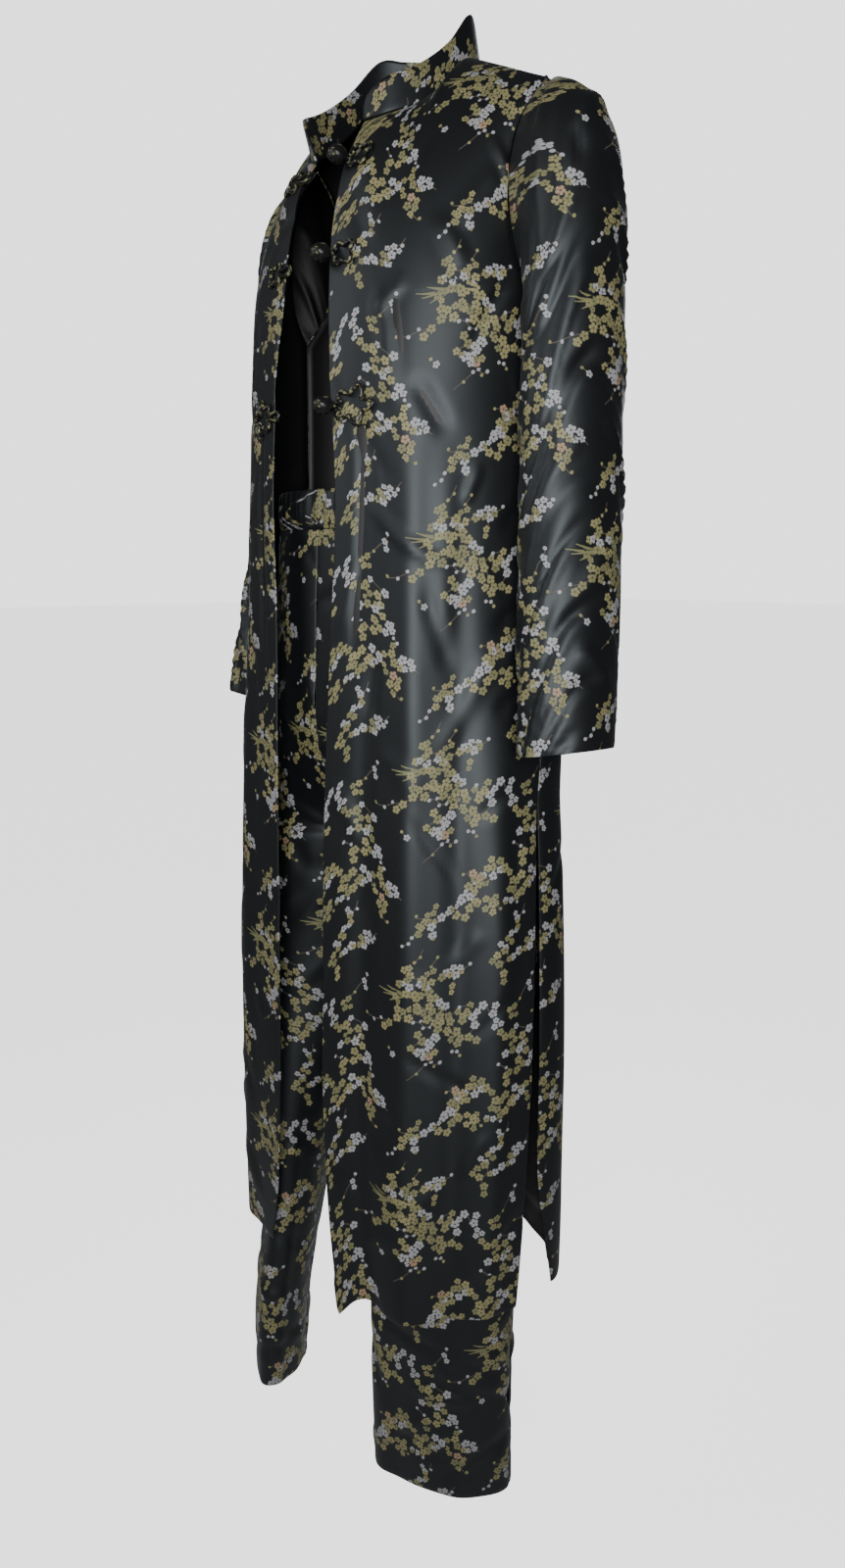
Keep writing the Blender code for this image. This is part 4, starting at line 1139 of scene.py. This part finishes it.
def trim_satin():
    shader = Shader("trim_satin")
    place = shader.add("ShaderNodeUVMap", uv_map="cut")
    threads = threads_on(shader, place, THREADS, 0.6)
    fleck = shader.add("ShaderNodeTexNoise", shader.vector("MULTIPLY", place, (260.0, 260.0, 1.0)), None, 1.0,
                       1.0, 0.5, noise_dimensions="2D")
    shader.into("Base Color", shader.mix(shader.ramp(fleck, 0.58, 0.66), (0.008, 0.008, 0.009, 1), OLIVE))
    shader.into("Roughness", 0.30)
    raise_surface(shader, threads, 0.3, 0.0003)
    return shader.material


trim = trim_satin()


def frog_line(side, height, strap, flower, petals):
    """Centre line of one frog: out from the open edge, round the petals and back."""
    edge = LEFT_EDGE if side > 0 else RIGHT_EDGE
    edge_x = float(along(edge, "height", "x", height))
    turn = np.linspace(0, 1, 68, endpoint=False)
    open_angle = np.arcsin(CORD_PAIR / (flower * (1 - PETAL_DEPTH)))
    a = np.pi + open_angle + (2 * np.pi - 2 * open_angle) * turn
    r = flower * (1 + PETAL_DEPTH * np.cos(petals * (a - np.pi) + np.pi))
    head = np.stack([strap + flower + r * np.cos(a), r * np.sin(a)], 1)
    reach = LOOP_REACH if side < 0 else KNOT_REACH
    tip = np.linspace(-np.pi / 2, np.pi / 2, 7)
    bulge = CORD_PAIR * (LOOP_WIDTH if side < 0 else KNOT_WIDTH)
    end = np.stack([reach + bulge - bulge * np.cos(tip), -bulge * np.sin(tip)], 1)
    straight = np.linspace(max(FROG_START, reach + bulge), strap + PETAL_DEPTH * flower * 0.8, 4)
    lower = np.stack([straight, 0 * straight - CORD_PAIR], 1)
    upper = np.stack([straight[::-1], 0 * straight + CORD_PAIR], 1)
    line = np.concatenate([lower, head, upper, end])
    return edge_x + side * line[:, 0], height + line[:, 1]


def cloth_height(fine, x, z):
    """Forward place and outward direction of the front sheet at a place seen from the front."""
    flat = fine.reshape(-1, 3)
    n = normals(fine).reshape(-1, 3)
    d = (flat[None, :, 0] - x[:, None]) ** 2 + (flat[None, :, 2] - z[:, None]) ** 2
    near = np.argsort(d, axis=1)[:, :4]
    w = 1 / (np.take_along_axis(d, near, 1) + 1e-8)
    w /= w.sum(1, keepdims=True)
    return (flat[near, 1] * w).sum(1), (n[near] * w[..., None]).sum(1)


def trim_piece(name, mesh):
    """A cord or a knot in its satin, in the place of the CAD node of that name."""
    mesh.materials.append(trim)
    mesh.shade_smooth()
    ob = bpy.data.objects.new("sewn_" + name, mesh)
    bpy.context.scene.collection.objects.link(ob)
    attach(ob, "root")
    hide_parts(name)


def cord_mesh(name, line, radius, sides=12):
    """A round cord along a line: rings square to the line, joined end to end."""
    after = np.roll(line, -1, 0) - np.roll(line, 1, 0)
    t = after / np.linalg.norm(after, axis=1, keepdims=True)
    up = np.zeros_like(t)
    up[:, 1] = -1
    a = np.cross(t, up)
    a /= np.maximum(np.linalg.norm(a, axis=1, keepdims=True), 1e-6)
    b = np.cross(a, t)
    turn = np.linspace(0, 2 * np.pi, sides, endpoint=False)
    rings = (line[:, None] + radius * (np.cos(turn)[None, :, None] * a[:, None]
                                       + np.sin(turn)[None, :, None] * b[:, None]))
    n = len(line)
    k = np.arange(n * sides).reshape(n, sides)
    down, right = np.roll(k, -1, 0), np.roll(k, -1, 1)
    faces = np.stack([k, down, np.roll(down, -1, 1), right], -1).reshape(-1, 4)
    mesh = bpy.data.meshes.new(name)
    mesh.from_pydata(rings.reshape(-1, 3).tolist(), [], faces.tolist())
    length = np.concatenate([[0], np.cumsum(np.linalg.norm(np.diff(line, axis=0), axis=1))])
    uv = np.zeros((n, sides, 4, 2))
    uv[..., 0] = length[:, None, None] + [[[0, 0.001, 0.001, 0]]]
    uv[..., 1] = (turn[None, :, None] * radius) + [[[0, 0, 0.001, 0.001]]]
    mesh.uv_layers.new(name="cut").data.foreach_set("uv", uv.astype(np.float32).ravel())
    trim_piece(name, mesh)


def knot_mesh(name, place):
    """A ball knot of the cord: a ball whose radius swells by |sin(2 a + 1.4 sin 2 h)|^0.5 times
    BALL_SWELL, for the turns of cord that cross on it (a round it, h up it)."""
    a = np.linspace(0, 2 * np.pi, BALL_ROUND, endpoint=False)[None, :]
    h = np.linspace(-np.pi / 2, np.pi / 2, BALL_UP + 2)[:, None]
    r = BALL * (1 - BALL_SWELL + BALL_SWELL * np.abs(np.sin(2 * a + 1.4 * np.sin(2 * h))) ** 0.5)
    ball = stack(r * np.cos(a) * np.cos(h), r * np.sin(a) * np.cos(h), BALL_FLAT * r * np.sin(h) + 0 * a)
    points = np.concatenate([(ball[1:-1] + place).reshape(-1, 3),
                             [place - [0, 0, BALL * BALL_FLAT], place + [0, 0, BALL * BALL_FLAT]]])
    k = np.arange(BALL_UP * BALL_ROUND).reshape(BALL_UP, BALL_ROUND)
    low = BALL_UP * BALL_ROUND
    after = np.roll(k, -1, 1)
    faces = np.stack([k[:-1], after[:-1], after[1:], k[1:]], -1).reshape(-1, 4).tolist()
    faces += [[low, after[0, j], k[0, j]] for j in range(BALL_ROUND)]
    faces += [[low + 1, k[-1, j], after[-1, j]] for j in range(BALL_ROUND)]
    mesh = bpy.data.meshes.new(name)
    mesh.from_pydata(points.tolist(), [], faces)
    loops = np.array([i for face in faces for i in face])
    spread = (points - place)[:, [0, 2]]
    mesh.uv_layers.new(name="cut").data.foreach_set("uv", spread[loops].astype(np.float32).ravel())
    trim_piece(name, mesh)


fine_across = np.linspace(0, 0.45, 70)
for side, word, folds in ((1, "left", LEFT_FRONT_FOLDS), (-1, "right", RIGHT_FRONT_FOLDS)):
    fine = front_grid(side, np.linspace(0.80, 1, 90), np.linspace(0, 1, 60), fine_across)
    fine = folded(fine, folds, fine_across, side)
    for i, (height, strap, flower, petals) in enumerate(FROGS[1:], 1):
        x, z = frog_line(side, height, strap, flower, petals)
        y, n = cloth_height(fine, x, z)
        line = stack(x, y, z) + side * n * (CLOTH / 2 + CLEAR + CORD * CORD_LIFT)
        cord_mesh("frog_%s_%d" % (word, i), line, CORD)
        if side > 0:
            end = line[np.argmin(line[:, 0])]
            knot_mesh("knot_%d" % i, end + np.array(BALL_OUT) * (CORD + BALL + CLEAR))
